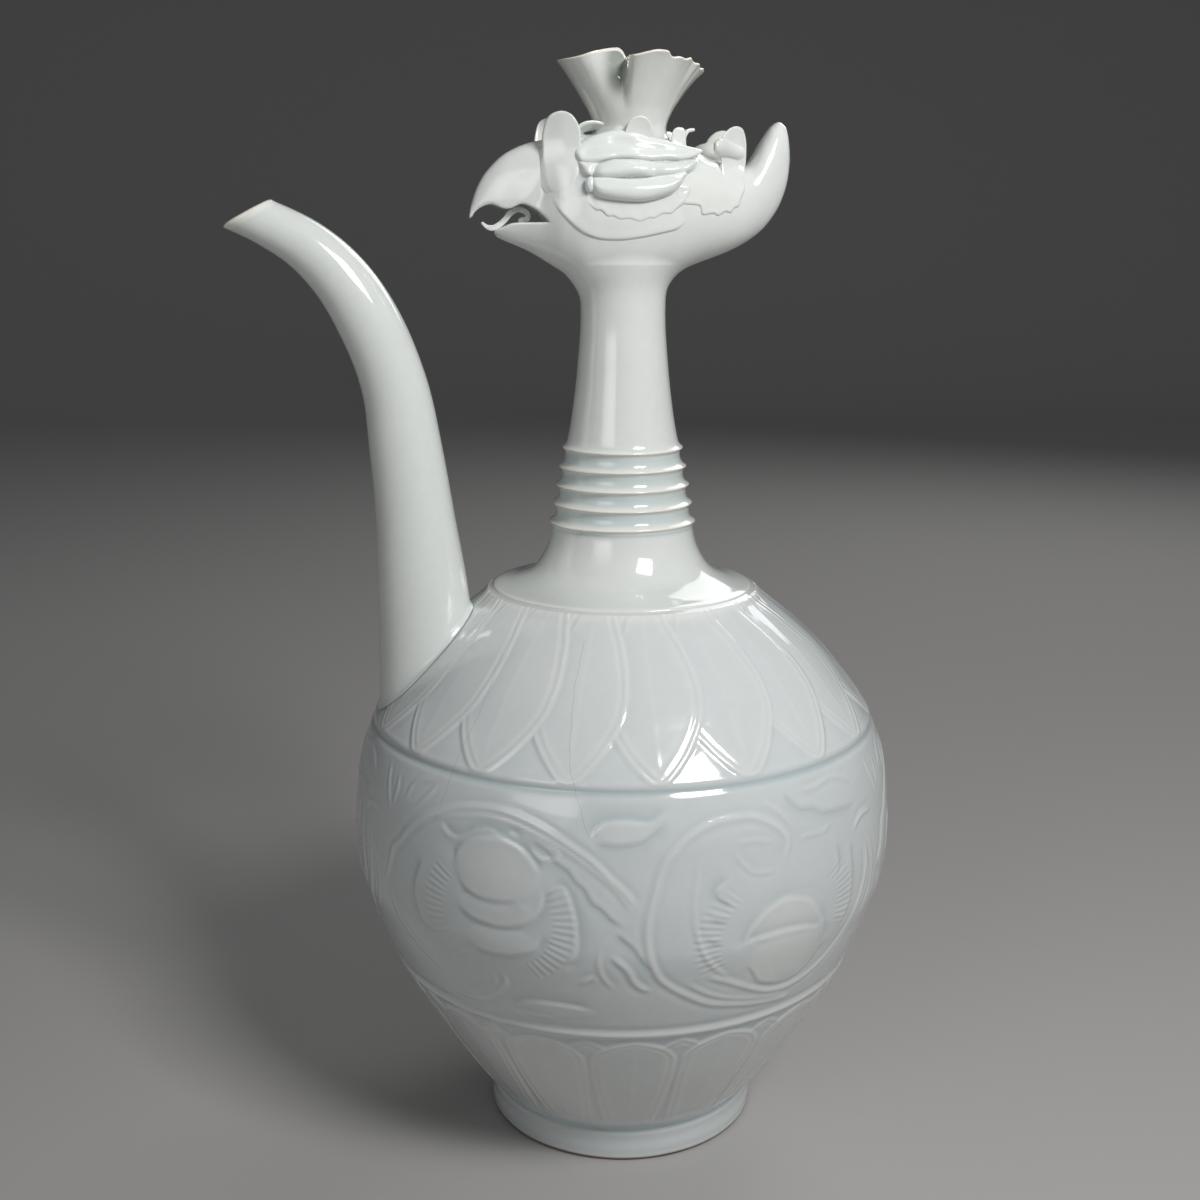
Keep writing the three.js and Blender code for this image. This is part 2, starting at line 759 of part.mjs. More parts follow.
// Left side of the head, in the order in which one piece makes room for the next
const appliedPieces = {
  ear_feather_upper: feather(upperFeatherShares, upperFeatherWidth),
  ear_feather_middle: feather(middleFeatherShares, middleFeatherWidth),
  ear_feather_lower: feather(lowerFeatherShares, lowerFeatherWidth),
  ear_bead: earBead,
  brow_leaf: uprightLeaf({
    root: onHead(...browLeafPlaceShares, leafThickness / 2),
    height: browLeafHeight,
    width: browLeafWidth,
    leanOut: leafThickness,
    leanBack: leafThickness / 2,
    cup: 0.12,
  }),
  brow_rear_leaf: browRearLeaf,
  crown_petal: uprightLeaf({
    root: onHead(...petalPlaceShares, 1.4 * leafThickness),
    height: crownPetalHeight,
    width: crownPetalWidth,
    leanOut: 1.5 * leafThickness,
    leanBack: 0,
    cup: 0.15,
  }),
  nape_tab: uprightLeaf({
    root: behindCrown(tabSetback, tabRiseShare, 0),
    height: tabHeight,
    width: tabWidth,
    leanOut: 0,
    leanBack: 0,
  }),
  nape_curl: napeCurl,
  nape_leaf: uprightLeaf({
    root: onHead(...napeLeafPlaceShares, 0),
    height: napeLeafHeight,
    width: napeLeafWidth,
    leanOut: leafThickness,
    leanBack: leafThickness,
    cup: 0.3,
  }),
  ear_ruff: slipPatch(ruffShares, ruffThickness),
  cheek_collar: slipPatch(collarShares, collarThickness),
  nape_patch: slipPatch(napePatchShares, napePatchThickness),
};

// The largest body of a trimmed piece: crumbs that a cut leaves are wiped away.
function withoutCrumbs(solid) {
  const bodies = solid.decompose();
  return bodies.reduce((largest, body) => (body.volume() > largest.volume() ? body : largest));
}

// Assembly

const glaze = new THREE.MeshStandardMaterial({ color: 0xd3ded9, roughness: 0.12, metalness: 0 });
const thinGlaze = new THREE.MeshStandardMaterial({ color: 0xe2e7e1, roughness: 0.14, metalness: 0 });
const standing = new THREE.Group();

function addPiece(name, geometry, material) {
  const mesh = new THREE.Mesh(geometry, material.clone());
  mesh.name = name;
  standing.add(mesh);
  return mesh;
}

// The left piece and its mirror image on the right
function addPair(name, geometry, material) {
  addPiece(name + "_left", geometry, material);
  addPiece(name + "_right", geometry, material).scale.set(1, -1, 1);
}

addPiece("lower_body", lowerBody(), glaze);
addPiece("middle_body", middleBody(), glaze);
addPiece("upper_body", upperBody(), glaze);
addPiece("neck", neckPiece(), glaze);
addPiece("spout", spoutPiece(), glaze);
addPair("head_half", headHalf(), glaze);
addPiece("crown_cup", crownCup(), thinGlaze);
addPiece("tongue", geometryOf(tongue()), thinGlaze);

let taken = headOutside(lutingGap).add(crownKeepOut());
for (const [name, make] of Object.entries(appliedPieces)) {
  addPair(name, geometryOf(withoutCrumbs(make(0).subtract(taken))), thinGlaze);
  taken = taken.add(make(lutingGap));
}

const ewer = new THREE.Group();
ewer.add(standing);
const extent = new THREE.Box3().setFromObject(standing);
standing.position.x = -(extent.min.x + extent.max.x) / 2;

export default ewer;
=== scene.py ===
# Phoenix-head ewer of thrown and press-moulded porcelain under a pale blue-green glaze, in a plain studio.
import math
import bpy
import bmesh
import numpy as np
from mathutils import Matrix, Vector


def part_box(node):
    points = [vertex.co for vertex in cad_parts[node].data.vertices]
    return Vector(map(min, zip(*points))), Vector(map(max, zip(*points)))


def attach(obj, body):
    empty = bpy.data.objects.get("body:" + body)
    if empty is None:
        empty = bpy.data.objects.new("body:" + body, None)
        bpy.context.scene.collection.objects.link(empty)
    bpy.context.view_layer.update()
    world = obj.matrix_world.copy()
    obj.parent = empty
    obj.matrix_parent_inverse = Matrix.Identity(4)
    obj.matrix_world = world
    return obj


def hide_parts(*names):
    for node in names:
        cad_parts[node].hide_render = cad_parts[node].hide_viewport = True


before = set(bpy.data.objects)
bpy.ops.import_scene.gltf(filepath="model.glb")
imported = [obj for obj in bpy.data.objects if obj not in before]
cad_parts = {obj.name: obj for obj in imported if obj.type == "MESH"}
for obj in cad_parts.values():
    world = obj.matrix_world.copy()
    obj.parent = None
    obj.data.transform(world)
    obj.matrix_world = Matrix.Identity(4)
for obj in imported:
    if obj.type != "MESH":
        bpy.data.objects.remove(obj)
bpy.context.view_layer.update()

# Camera: a little to the left of the ewer's side and looking slightly down, at the height of the crown
camera_place = (-0.0833, -0.5316, 0.325)
camera_tilt = math.radians(76.97)
camera_turn = math.radians(-10)
camera_data = bpy.data.cameras.new("camera")
camera_data.lens = 45
camera_data.sensor_width = 36
camera = bpy.data.objects.new("camera", camera_data)
camera.location = camera_place
camera.rotation_euler = (camera_tilt, 0, camera_turn)
bpy.context.scene.collection.objects.link(camera)
bpy.context.scene.camera = camera

# Studio: one pale sheet that runs from the floor up behind the ewer in a wide bend
sheet_front = -3.0
sheet_reach = 2.4
sheet_width = 7.0
sheet_bend = 1.2
sheet_rise = 4.0
bend_steps = 24
stage_mesh = bpy.data.meshes.new("studio_sheet")
profile = [(sheet_front, 0.0), (sheet_reach, 0.0)]
for step in range(1, bend_steps + 1):
    turn = math.pi / 2 * step / bend_steps
    profile.append((sheet_reach + sheet_bend * math.sin(turn), sheet_bend * (1 - math.cos(turn))))
profile.append((sheet_reach + sheet_bend, sheet_rise))
sheet_points = [(side * sheet_width / 2, y, z) for y, z in profile for side in (-1, 1)]
sheet_faces = [(2 * k, 2 * k + 1, 2 * k + 3, 2 * k + 2) for k in range(len(profile) - 1)]
stage_mesh.from_pydata(sheet_points, [], sheet_faces)
stage_mesh.shade_smooth()
studio_sheet = bpy.data.objects.new("studio_sheet", stage_mesh)
studio_sheet.rotation_euler = (0, 0, camera_turn)
bpy.context.scene.collection.objects.link(studio_sheet)
sheet_paint = bpy.data.materials.new("pale_sheet")
sheet_paint.use_nodes = True
sheet_shader = sheet_paint.node_tree.nodes["Principled BSDF"]
sheet_shader.inputs["Base Color"].default_value = (0.46, 0.45, 0.44, 1)
sheet_shader.inputs["Roughness"].default_value = 0.8
sheet_shader.inputs["Specular IOR Level"].default_value = 0.2
stage_mesh.materials.append(sheet_paint)


def soft_box(name, place, target, width, height, watts, beam=180):
    """A rectangular studio lamp that points at its target, with the full angle of its beam."""
    lamp_data = bpy.data.lights.new(name, "AREA")
    lamp_data.shape = "RECTANGLE"
    lamp_data.size = width
    lamp_data.size_y = height
    lamp_data.energy = watts
    lamp_data.spread = math.radians(beam)
    lamp = bpy.data.objects.new(name, lamp_data)
    lamp.location = place
    lamp.rotation_euler = (Vector(target) - Vector(place)).to_track_quat("-Z", "Y").to_euler()
    bpy.context.scene.collection.objects.link(lamp)


# Key light above and to the right of the camera, a narrow lamp on the head from the left, a weak fill on the
# left and one from behind
soft_box("key_light", (0.29, -0.55, 0.72), (0.01, 0, 0.24), 0.25, 0.23, 4.7)
soft_box("head_light", (-0.5, -0.6, 0.56), (0, 0, 0.42), 0.42, 0.42, 0.12, 60)
soft_box("left_fill", (-0.9, -0.9, 0.75), (0, 0, 0.34), 0.7, 0.9, 0.9)
soft_box("rear_light", (0.9, 1.1, 1.2), (0, 0, 0.3), 0.9, 0.9, 5.5)
world = bpy.data.worlds.new("studio_air")
world.use_nodes = True
world.node_tree.nodes["Background"].inputs["Color"].default_value = (0.9, 0.93, 0.96, 1)
world.node_tree.nodes["Background"].inputs["Strength"].default_value = 0.11
bpy.context.scene.world = world
bpy.context.scene.view_settings.view_transform = "Standard"


# Lower body: a thrown porcelain bowl on a turned foot ring, carved with sixteen upright petals.
# The raised line round its upper edge is the cord of slip over the luted seam, and the foot's
# edge is wiped free of glaze and burnt brown.
MILLIMETRE = 0.001
DEGREE = math.pi / 180
foot_radius = 50.8
foot_height = 12
foot_ring_width = 8
foot_recess_depth = 5
foot_bevel = 1
floor_thickness = 7
body_radius = 100.5
widest_height = 119
body_wall = 5
neck_disc_radius = 47.5
shoulder_ledge = 1.6
shoulder_radius = neck_disc_radius + shoulder_ledge
# Radius of the thrown body as shares of its swell, below the widest place and above it
belly_shares = [
    (0, 0), (0.17, 0.26), (0.36, 0.52), (0.55, 0.735), (0.74, 0.9), (0.88, 0.985), (1, 1), (1.12, 0.985),
]
dome_shares = [
    (-0.15, 0.985), (0, 1), (0.23, 0.968), (0.45, 0.86), (0.66, 0.615), (0.77, 0.455), (0.89, 0.23), (1, 0),
]


def node_box(node):
    """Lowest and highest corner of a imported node, in millimetres."""
    low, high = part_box(node)
    return Vector(low) / MILLIMETRE, Vector(high) / MILLIMETRE


low, high = node_box("lower_body")
axis_place = (low.x + high.x) / 2
lower_seam = high.z
upper_seam = node_box("middle_body")[1].z
body_height = node_box("upper_body")[1].z
# The carved wall lies this far inside the plain one, so that the raised lines end level with it.
carving_sink = 0.45


def values_along(pairs, places):
    """Smooth values at places along (place, value) pairs, with no overshoot between the pairs."""
    at = np.array([p for p, _ in pairs], float)
    value = np.array([v for _, v in pairs], float)
    span = np.diff(at)
    slope = np.diff(value) / span
    tangent = np.empty(len(at))
    tangent[0], tangent[-1] = slope[0], slope[-1]
    product = slope[:-1] * slope[1:]
    total = slope[:-1] + slope[1:]
    tangent[1:-1] = np.where(product > 0, 2 * product / np.where(product > 0, total, 1), 0)
    spot = np.clip(places, at[0], at[-1])
    k = np.clip(np.searchsorted(at, spot, side="right") - 1, 0, len(span) - 1)
    u = (spot - at[k]) / span[k]
    rise = value[k + 1] - value[k]
    start, end = tangent[k] * span[k], tangent[k + 1] * span[k]
    return value[k] + u * (start + u * (3 * rise - 2 * start - end + u * (start + end - 2 * rise)))


def body_radius_at(height):
    """Radius of the plain thrown body at a height."""
    height = np.asarray(height, float)
    low_share = values_along(belly_shares, (height - foot_height) / (widest_height - foot_height))
    high_share = values_along(dome_shares, (height - widest_height) / (body_height - widest_height))
    belly = foot_radius + (body_radius - foot_radius) * low_share
    dome = shoulder_radius + (body_radius - shoulder_radius) * high_share
    return np.where(height <= widest_height, belly, dome)


def body_slope_at(height):
    """How fast the plain body's radius grows with height."""
    step = 0.25
    return (body_radius_at(height + step) - body_radius_at(height - step)) / (2 * step)


def bump_of(distance, half_width):
    """One in the middle of a round ridge, falling off on both sides."""
    return np.exp(-((distance / half_width) ** 2))


def smooth_step(value):
    """A soft rise from zero to one."""
    value = np.clip(value, 0, 1)
    return value * value * (3 - 2 * value)


# Lines that follow a petal's edge: how far inside it, half their width, and how far they rise or sink
petal_lines = [(0.9, 0.9, 0.1), (3.6, 1.0, 0.09), (2.2, 0.8, -0.09)]
petal_fall = 9
vein_rise = 0.06
vein_half_width = 0.9
petal_cut = 0.22
petal_cut_width = 1.6
petal_edge_width = 1.7


def petal_relief(azimuth, height, under, pitch, first, half_widths, overlap, rise):
    """Height of a row of carved petals over the ground, with a double outline and a cut round each."""
    radius = body_radius_at(height)
    reach = values_along(half_widths, height) * DEGREE * radius
    slope = np.gradient(reach, height) / np.hypot(1, body_slope_at(height))
    steep = np.sqrt(1 + slope**2)
    relief = np.zeros((len(height), len(azimuth))) + under
    nearest = np.floor((azimuth - first) / pitch)
    for step in ([2, 1, 0, -1] if overlap else [1, 0]):
        centre = first + (nearest + step) * pitch
        across = (azimuth - centre) * DEGREE * radius[:, None]
        within = (reach[:, None] - np.abs(across)) / steep[:, None]
        face = rise * (1 - 0.3 * smooth_step(within / petal_fall))
        for inset, half_width, line_rise in petal_lines:
            face = face + line_rise * bump_of(within - inset, half_width)
        face = face + vein_rise * bump_of(across, vein_half_width) * smooth_step((within - 4) / 3)
        cut = petal_cut * np.exp(-np.maximum(-within, 0) / petal_cut_width)
        cover = smooth_step((within + 1) / petal_edge_width)
        relief = (relief - cut) * (1 - cover) + face * cover
    return relief


# Half width of a petal, in degrees round the pot, at heights along it
lower_petals = [
    (foot_height, 8.2), (20, 9.4), (34, 10.5), (48, 10.9), (57, 10.6), (61, 9.2), (64, 6.6), (66, 3.3),
    (67.2, 0), (70.5, -9),
]
lower_rear_petals = [(foot_height, 3), (50, 9), (58, 9), (62, 6.2), (65.5, 2.8), (67.8, 0), (70.5, -6)]
lower_petal_pitch = 360 / 16
first_lower_petal = 262.25
seam_line_rise = 0.75
seam_line_half_width = 1.1
beside_seam_line = 2.8


def lower_relief(azimuth, height):
    """Carving of the bowl: front petals over the tips of the rear ones, and the raised line above."""
    pitch = lower_petal_pitch
    first_rear = first_lower_petal - pitch / 2
    rear = petal_relief(azimuth, height, 0, pitch, first_rear, lower_rear_petals, False, 0.25)
    relief = petal_relief(azimuth, height, rear, pitch, first_lower_petal, lower_petals, False, 0.34)
    fade = smooth_step((height - foot_height - 2) / 7) * smooth_step((lower_seam - 1.5 - height) / 2)
    line = seam_line_rise * bump_of(height - lower_seam, seam_line_half_width)
    line = line - 0.15 * bump_of(height - lower_seam + beside_seam_line, 1.2)
    return relief * fade[:, None] + line[:, None]


def carved_rings(azimuth, height, relief):
    """Points, normals and relief of the carved outside on a grid of heights and azimuths."""
    longer = np.concatenate([[2 * height[0] - height[1]], height, [2 * height[-1] - height[-2]]])
    cut = relief(azimuth, longer) - carving_sink
    slope = body_slope_at(longer)
    tilt = np.sqrt(1 + slope**2)
    radius = body_radius_at(longer)[:, None] + cut / tilt[:, None]
    level = longer[:, None] - cut * (slope / tilt)[:, None]
    turn = azimuth * DEGREE
    points = np.stack([radius * np.cos(turn), radius * np.sin(turn), level + 0 * radius], axis=-1)
    east = np.roll(points, -1, axis=1) - np.roll(points, 1, axis=1)
    north = np.gradient(points, axis=0)
    normals = np.cross(east, north)
    normals /= np.linalg.norm(normals, axis=-1, keepdims=True)
    return points[1:-1], normals[1:-1], cut[1:-1]


def grid_normals(points, wrap_rows):
    """Normals of a grid of points that closes on itself from side to side."""
    east = np.roll(points, -1, axis=1) - np.roll(points, 1, axis=1)
    if wrap_rows:
        north = np.roll(points, -1, axis=0) - np.roll(points, 1, axis=0)
    else:
        north = np.gradient(points, axis=0)
    normals = np.cross(east, north)
    return normals / np.maximum(np.linalg.norm(normals, axis=-1, keepdims=True), 1e-9)


def grid_faces(rows, columns, wrap_rows):
    """Four-cornered faces between the points of a grid that closes on itself from side to side."""
    row = np.arange(rows if wrap_rows else rows - 1)[:, None]
    column = np.arange(columns)[None, :]
    above = (row + 1) % rows
    east = (column + 1) % columns
    corners = [row * columns + column, row * columns + east, above * columns + east, above * columns + column]
    return np.stack(np.broadcast_arrays(*corners), axis=-1).reshape(-1, 4)


def turned_rings(azimuth, profile):
    """A grid of points turned from a profile of (radius, height) pairs."""
    profile = np.asarray(profile, float)
    turn = azimuth * DEGREE
    rings = np.empty((len(profile), len(azimuth), 3))
    rings[:, :, 0] = profile[:, :1] * np.cos(turn)
    rings[:, :, 1] = profile[:, :1] * np.sin(turn)
    rings[:, :, 2] = profile[:, 1:]
    return rings


def node(tree, kind, inputs, **settings):
    """A shader node; its inputs are numbers, colours or the outputs of other nodes."""
    made = tree.nodes.new("ShaderNode" + kind)
    made.location = (180 * len(tree.nodes), 0)
    for key, value in settings.items():
        setattr(made, key, value)
    for key, value in inputs.items():
        if isinstance(value, bpy.types.NodeSocket):
            tree.links.new(value, made.inputs[key])
        else:
            made.inputs[key].default_value = value
    return made


def calculated(tree, operation, *inputs):
    """What a Math node makes of its inputs."""
    return node(tree, "Math", dict(enumerate(inputs)), operation=operation).outputs[0]


def ranged(tree, value, start, end, low=0, high=1):
    """A value that runs from low to high while the one put in runs from start to end."""
    limits = {"Value": value, "From Min": start, "From Max": end, "To Min": low, "To Max": high}
    return node(tree, "MapRange", limits).outputs["Result"]


def laid_over(tree, share, colour, other, **settings):
    """A colour with another laid over it; sockets 0, 6 and 7 of a mix are its share and two colours."""
    return node(tree, "Mix", {0: share, 6: colour, 7: other}, data_type="RGBA", **settings).outputs[2]


def mottling(tree, place, scale, detail):
    """Soft uneven clouds; the scale counts them over a metre."""
    return node(tree, "TexNoise", {"Vector": place, "Scale": scale, "Detail": detail}).outputs["Fac"]


def stored(tree, name):
    """A value that the mesh holds at each of its points."""
    return node(tree, "Attribute", {}, attribute_name=name).outputs["Fac"]


def linear(red, green, blue):
    """A colour as written for a screen, turned into the shader's own values."""
    parts = [part / 255 for part in (red, green, blue)]
    return tuple(((p + 0.055) / 1.055) ** 2.4 if p > 0.04 else p / 12.92 for p in parts) + (1,)


iron_speck = (82, 70, 58)
stained_crack = (120, 116, 104)
burnt_clay = (122, 96, 74)


def glaze_material(name, thin, plain, pooled, combed=False, burnt_foot=False):
    """Glossy porcelain glaze: pale where it runs thin, blue-green where it pools in the carving."""
    material = bpy.data.materials.new(name)
    material.use_nodes = True
    tree = material.node_tree
    shader = tree.nodes["Principled BSDF"]
    shader.inputs["IOR"].default_value = 1.5
    shader.inputs["Coat Weight"].default_value = 0.6
    shader.inputs["Coat Roughness"].default_value = 0.03
    place = node(tree, "TexCoord", {}).outputs["Object"]
    cloud = mottling(tree, place, 14, 3)
    grain = mottling(tree, place, 260, 4)
    height = mottling(tree, place, 70, 2)

    # The depth of the glaze, with a slow drift, runs through its three colours.
    drift = calculated(tree, "MULTIPLY_ADD", cloud, 0.7, -0.35)
    depth = calculated(tree, "ADD", stored(tree, "glaze_depth"), drift)
    ramp = node(tree, "ValToRGB", {"Fac": ranged(tree, depth, -1, 1)})
    stops = ramp.color_ramp
    stops.interpolation = "EASE"
    stops.elements[0].position = 0.05
    stops.elements[0].color = linear(*thin)
    stops.elements[1].position = 0.95
    stops.elements[1].color = linear(*pooled)
    stops.elements.new(0.5).color = linear(*plain)
    shade = ranged(tree, grain, 0, 1, 0.965, 1.03)
    colour = laid_over(tree, 1, ramp.outputs["Color"], shade, blend_type="MULTIPLY")

    # A few iron specks lie in the middle of rare cells.
    cell = node(tree, "TexVoronoi", {"Vector": place, "Scale": 55})
    chosen = node(tree, "SeparateColor", {0: cell.outputs["Color"]}).outputs[0]
    rare = calculated(tree, "GREATER_THAN", chosen, 0.965)
    dot = ranged(tree, cell.outputs["Distance"], 0.028, 0.012)
    colour = laid_over(tree, calculated(tree, "MULTIPLY", rare, dot), colour, linear(*iron_speck))

    if combed:
        # Comb strokes lie in the clay and hair cracks in the glaze.
        tooth = calculated(tree, "SINE", stored(tree, "comb_phase"))
        stroke = calculated(tree, "MULTIPLY", tooth, stored(tree, "comb_strength"))
        height = calculated(tree, "MULTIPLY_ADD", stroke, 1.4, height)
        off_crack = calculated(tree, "ABSOLUTE", stored(tree, "crack_distance"))
        colour = laid_over(tree, ranged(tree, off_crack, 0.16, 0.05, 0, 0.3), colour, linear(*stained_crack))
    rough = ranged(tree, grain, 0, 1, 0.06, 0.15)
    if burnt_foot:
        # The glaze ends in an uneven line a few millimetres up the foot ring.
        level = node(tree, "SeparateXYZ", {0: place}).outputs["Z"]
        bare = ranged(tree, calculated(tree, "MULTIPLY_ADD", cloud, 0.003, level), 0.0034, 0.0026)
        colour = laid_over(tree, bare, colour, linear(*burnt_clay))
        rough = calculated(tree, "MULTIPLY_ADD", bare, 0.5, rough)
    bump = node(tree, "Bump", {"Strength": 0.25, "Distance": 0.0002, "Height": height})
    tree.links.new(bump.outputs["Normal"], shader.inputs["Normal"])
    tree.links.new(rough, shader.inputs["Roughness"])
    tree.links.new(colour, shader.inputs["Base Color"])
    return material


body_glaze = glaze_material(
    "carved_body_glaze", (229, 231, 227), (214, 219, 219), (189, 201, 203), combed=True, burnt_foot=True
)


def glazed_piece(name, points, faces, normals, values, material):
    """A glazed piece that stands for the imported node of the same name."""
    mesh = bpy.data.meshes.new("glazed_" + name)
    place = points.reshape(-1, 3) + (axis_place, 0, 0)
    mesh.from_pydata(place * MILLIMETRE, [], faces)
    mesh.validate()
    mesh.shade_smooth()
    for key, field in values.items():
        layer = mesh.attributes.new(key, "FLOAT", "POINT")
        layer.data.foreach_set("value", np.ascontiguousarray(field, np.float32).ravel())
    mesh.normals_split_custom_set_from_vertices(normals.reshape(-1, 3).tolist())
    mesh.materials.append(material)
    piece = bpy.data.objects.new("glazed_" + name, mesh)
    bpy.context.scene.collection.objects.link(piece)
    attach(piece, "root")
    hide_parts(name)
    return piece


def wall_inside(height):
    """Profile of the inner wall at some heights."""
    return [(float(body_radius_at(h) - body_wall * math.hypot(1, body_slope_at(h))), h) for h in height]


def pooled_in(cut):
    """Glaze runs thin on the raised lines and pools in the cuts."""
    return np.clip(-(cut + carving_sink) * 1.5, -0.8, 0.9)


# Two cracks in the glaze that run down the left of the body, as (azimuth, height) points from the top
body_cracks = [
    [(216.3, 204), (222, 191), (223, 174), (221, 146)],
    [(246.3, 199), (247.6, 172.7), (249.9, 159.3), (253.2, 144.5)],
]
far_from_crack = 9.0


def crack_distances(azimuth, height):
    """Signed distance in millimetres to the nearest glaze crack."""
    nearest = np.full((len(height), len(azimuth)), far_from_crack)
    wave = 0.1 * np.sin(height * 0.83) + 0.14 * np.sin(height * 0.29 + 1) + 0.05 * np.sin(height * 2.3)
    for crack in body_cracks:
        top, bottom = crack[0][1], crack[-1][1]
        line = values_along(sorted((h, a) for a, h in crack), height) + wave
        across = (azimuth[None, :] - line[:, None]) * DEGREE * body_radius_at(height)[:, None]
        across = np.where(((height < top) & (height > bottom))[:, None], across, far_from_crack)
        nearest = np.where(np.abs(across) < np.abs(nearest), across, nearest)
    return nearest


lower_columns = 640
foot_cove_top = 16
disc_middle = 3
azimuth = np.arange(lower_columns) * 360 / lower_columns
cove_heights = np.linspace(foot_height, foot_cove_top, 8)[:-1]
height = np.concatenate([cove_heights, np.linspace(foot_cove_top, lower_seam, 88)])
points, normals, cut = carved_rings(azimuth, height, lower_relief)
floor_top = foot_recess_depth + floor_thickness
recess_radius = foot_radius - foot_ring_width
# From the middle of the recess, round the softened edges of the foot ring and up its outside
foot_profile = [
    (disc_middle, foot_recess_depth), (recess_radius - 3, foot_recess_depth),
    (recess_radius - 0.6, foot_recess_depth - 0.2), (recess_radius, foot_recess_depth - 1),
    (recess_radius + 0.2, 1), (recess_radius + foot_bevel, 0.1), (recess_radius + 1.6, 0),
    (foot_radius - 1.6, 0), (foot_radius - 0.9, 0.1), (foot_radius - 0.25, 0.6), (foot_radius, 1.4),
]
foot_profile += [(foot_radius - 0.1 * math.sin(h), h) for h in np.linspace(2.2, foot_height - 1, 12)]
inner_profile = wall_inside(np.linspace(lower_seam, floor_top + body_wall, 9))
inner_profile += [(recess_radius - body_wall, floor_top), (disc_middle, floor_top)]
start = turned_rings(azimuth, foot_profile)
end = turned_rings(azimuth, inner_profile)
rings = np.concatenate([start, points, end])
all_normals = grid_normals(rings, False)
all_normals[len(start) + 2 : len(start) + len(points)] = normals[2:]
pool = np.zeros(rings.shape[:2])
over_foot = 0.9 * bump_of(height - foot_height - 1, 3)[:, None]
pool[len(start) : len(start) + len(points)] = pooled_in(cut) + over_foot
crack = np.full(rings.shape[:2], far_from_crack)
faces = grid_faces(len(rings), lower_columns, False).tolist()
faces.append(list(range(lower_columns))[::-1])
faces.append([(len(rings) - 1) * lower_columns + k for k in range(lower_columns)])
glazed_piece(
    "lower_body", rings, faces, all_normals, {"glaze_depth": pool, "crack_distance": crack},
    body_glaze,
)


# Middle body: the widest ring of the pot, carved through the leather-hard clay with a peony scroll.
# Raised double stems run round each flower, the petals are cut with a slanted blade and their
# edges are combed. The same pair of flowers comes three times round the pot.
scroll_start = 205
scroll_pitch = 120
scroll_bottom = 76
scroll_top = 152
roll_radius = 99
# Stems of the scroll as (azimuth, height) points
wide_stems = [
    [(204, 113), (206, 118), (207, 123), (208, 128), (210, 131), (213, 137), (216, 141), (220, 145),
     (224, 148), (228, 149.7), (232, 150.5), (236, 150.3), (240, 149), (245, 146), (250, 141.5), (254, 137),
     (257, 132), (260, 127), (262, 122)],
    [(300, 76), (290, 78), (284, 80), (278, 82.5), (274, 86), (270, 90.5), (267, 95), (265.5, 99.5),
     (264.5, 105), (264, 112), (264.2, 118), (265, 124), (266, 131), (267.5, 137), (269, 140), (271, 143.5),
     (274, 146.5), (277, 148.3), (281, 149), (285, 148.6), (288, 146.5), (291, 143), (292.5, 139.5),
     (292.5, 136), (291.5, 132)],
    [(235, 94), (235.5, 90), (234, 86), (231.5, 82.5), (228, 79.5), (224, 78), (221, 77.5)],
    [(257, 106), (259, 102.5), (260.5, 99.5), (261.5, 95.5), (263, 92.5), (265.5, 90.5)],
    [(276, 95), (280, 92), (284, 88.5), (288, 85), (292, 82.5), (297, 81.5), (302, 83), (307, 87), (311, 93),
     (314, 101), (316.5, 110), (317.5, 119), (316.5, 127)],
    [(312, 133), (314, 136), (317, 137.5), (321, 136.5)],
    [(250.5, 92.5), (252, 94.5), (253.5, 96), (255, 95.5)],
]
thin_stems = [
    [(219, 143), (224, 145.6), (229, 147.4), (234, 148), (240, 146.4), (246, 142.8), (250, 139.2),
     (254, 134.5), (258, 128.5), (261.5, 120.5)],
    [(297, 78.4), (290, 80.3), (284, 82.6), (279, 85.5), (275.4, 89), (272, 93)],
    [(273.5, 136), (273, 128), (272.7, 120), (273.3, 112), (275, 104), (277.5, 98), (281, 92.8)],
    [(287, 152.5), (290, 150), (292.5, 146), (294.5, 141)],
    [(280.5, 140.5), (284, 141), (287, 140.3), (290, 138.5)],
    [(280.5, 139), (281.5, 136), (283, 133), (285, 130.5), (290, 129.5)],
    [(232.5, 93), (233, 89), (231.5, 85.5), (229, 82.8), (226, 81), (222.5, 80.3)],
    [(222, 93), (224, 96), (227, 99), (230, 101)],
    [(257.5, 113), (255.5, 108), (255, 104), (255.2, 99), (256.5, 94.5), (258, 91.5)],
    [(232, 78), (236, 76.8), (240, 77.2), (246, 76.5)],
    [(297, 153), (302, 153), (307, 154), (312, 151.5), (316, 147)],
    [(295, 137), (297, 138.5), (302, 138), (305, 140)],
    [(202, 155), (203, 149), (205, 142), (206, 139)],
    [(206.5, 153), (207, 147), (206, 141)],
    [(210.5, 145), (212, 151), (215, 154), (219, 155.5)],
    [(213.5, 144), (217, 149), (219.5, 154.5)],
    [(206, 112), (207.5, 104), (210, 97), (214, 91), (219, 87)],
    [(241.5, 140.5), (244, 137), (246.3, 137.2), (247.4, 139.3), (246, 141.3), (244.3, 140.2)],
    [(318, 129), (320, 122), (321, 114), (320, 105), (317, 97)],
]
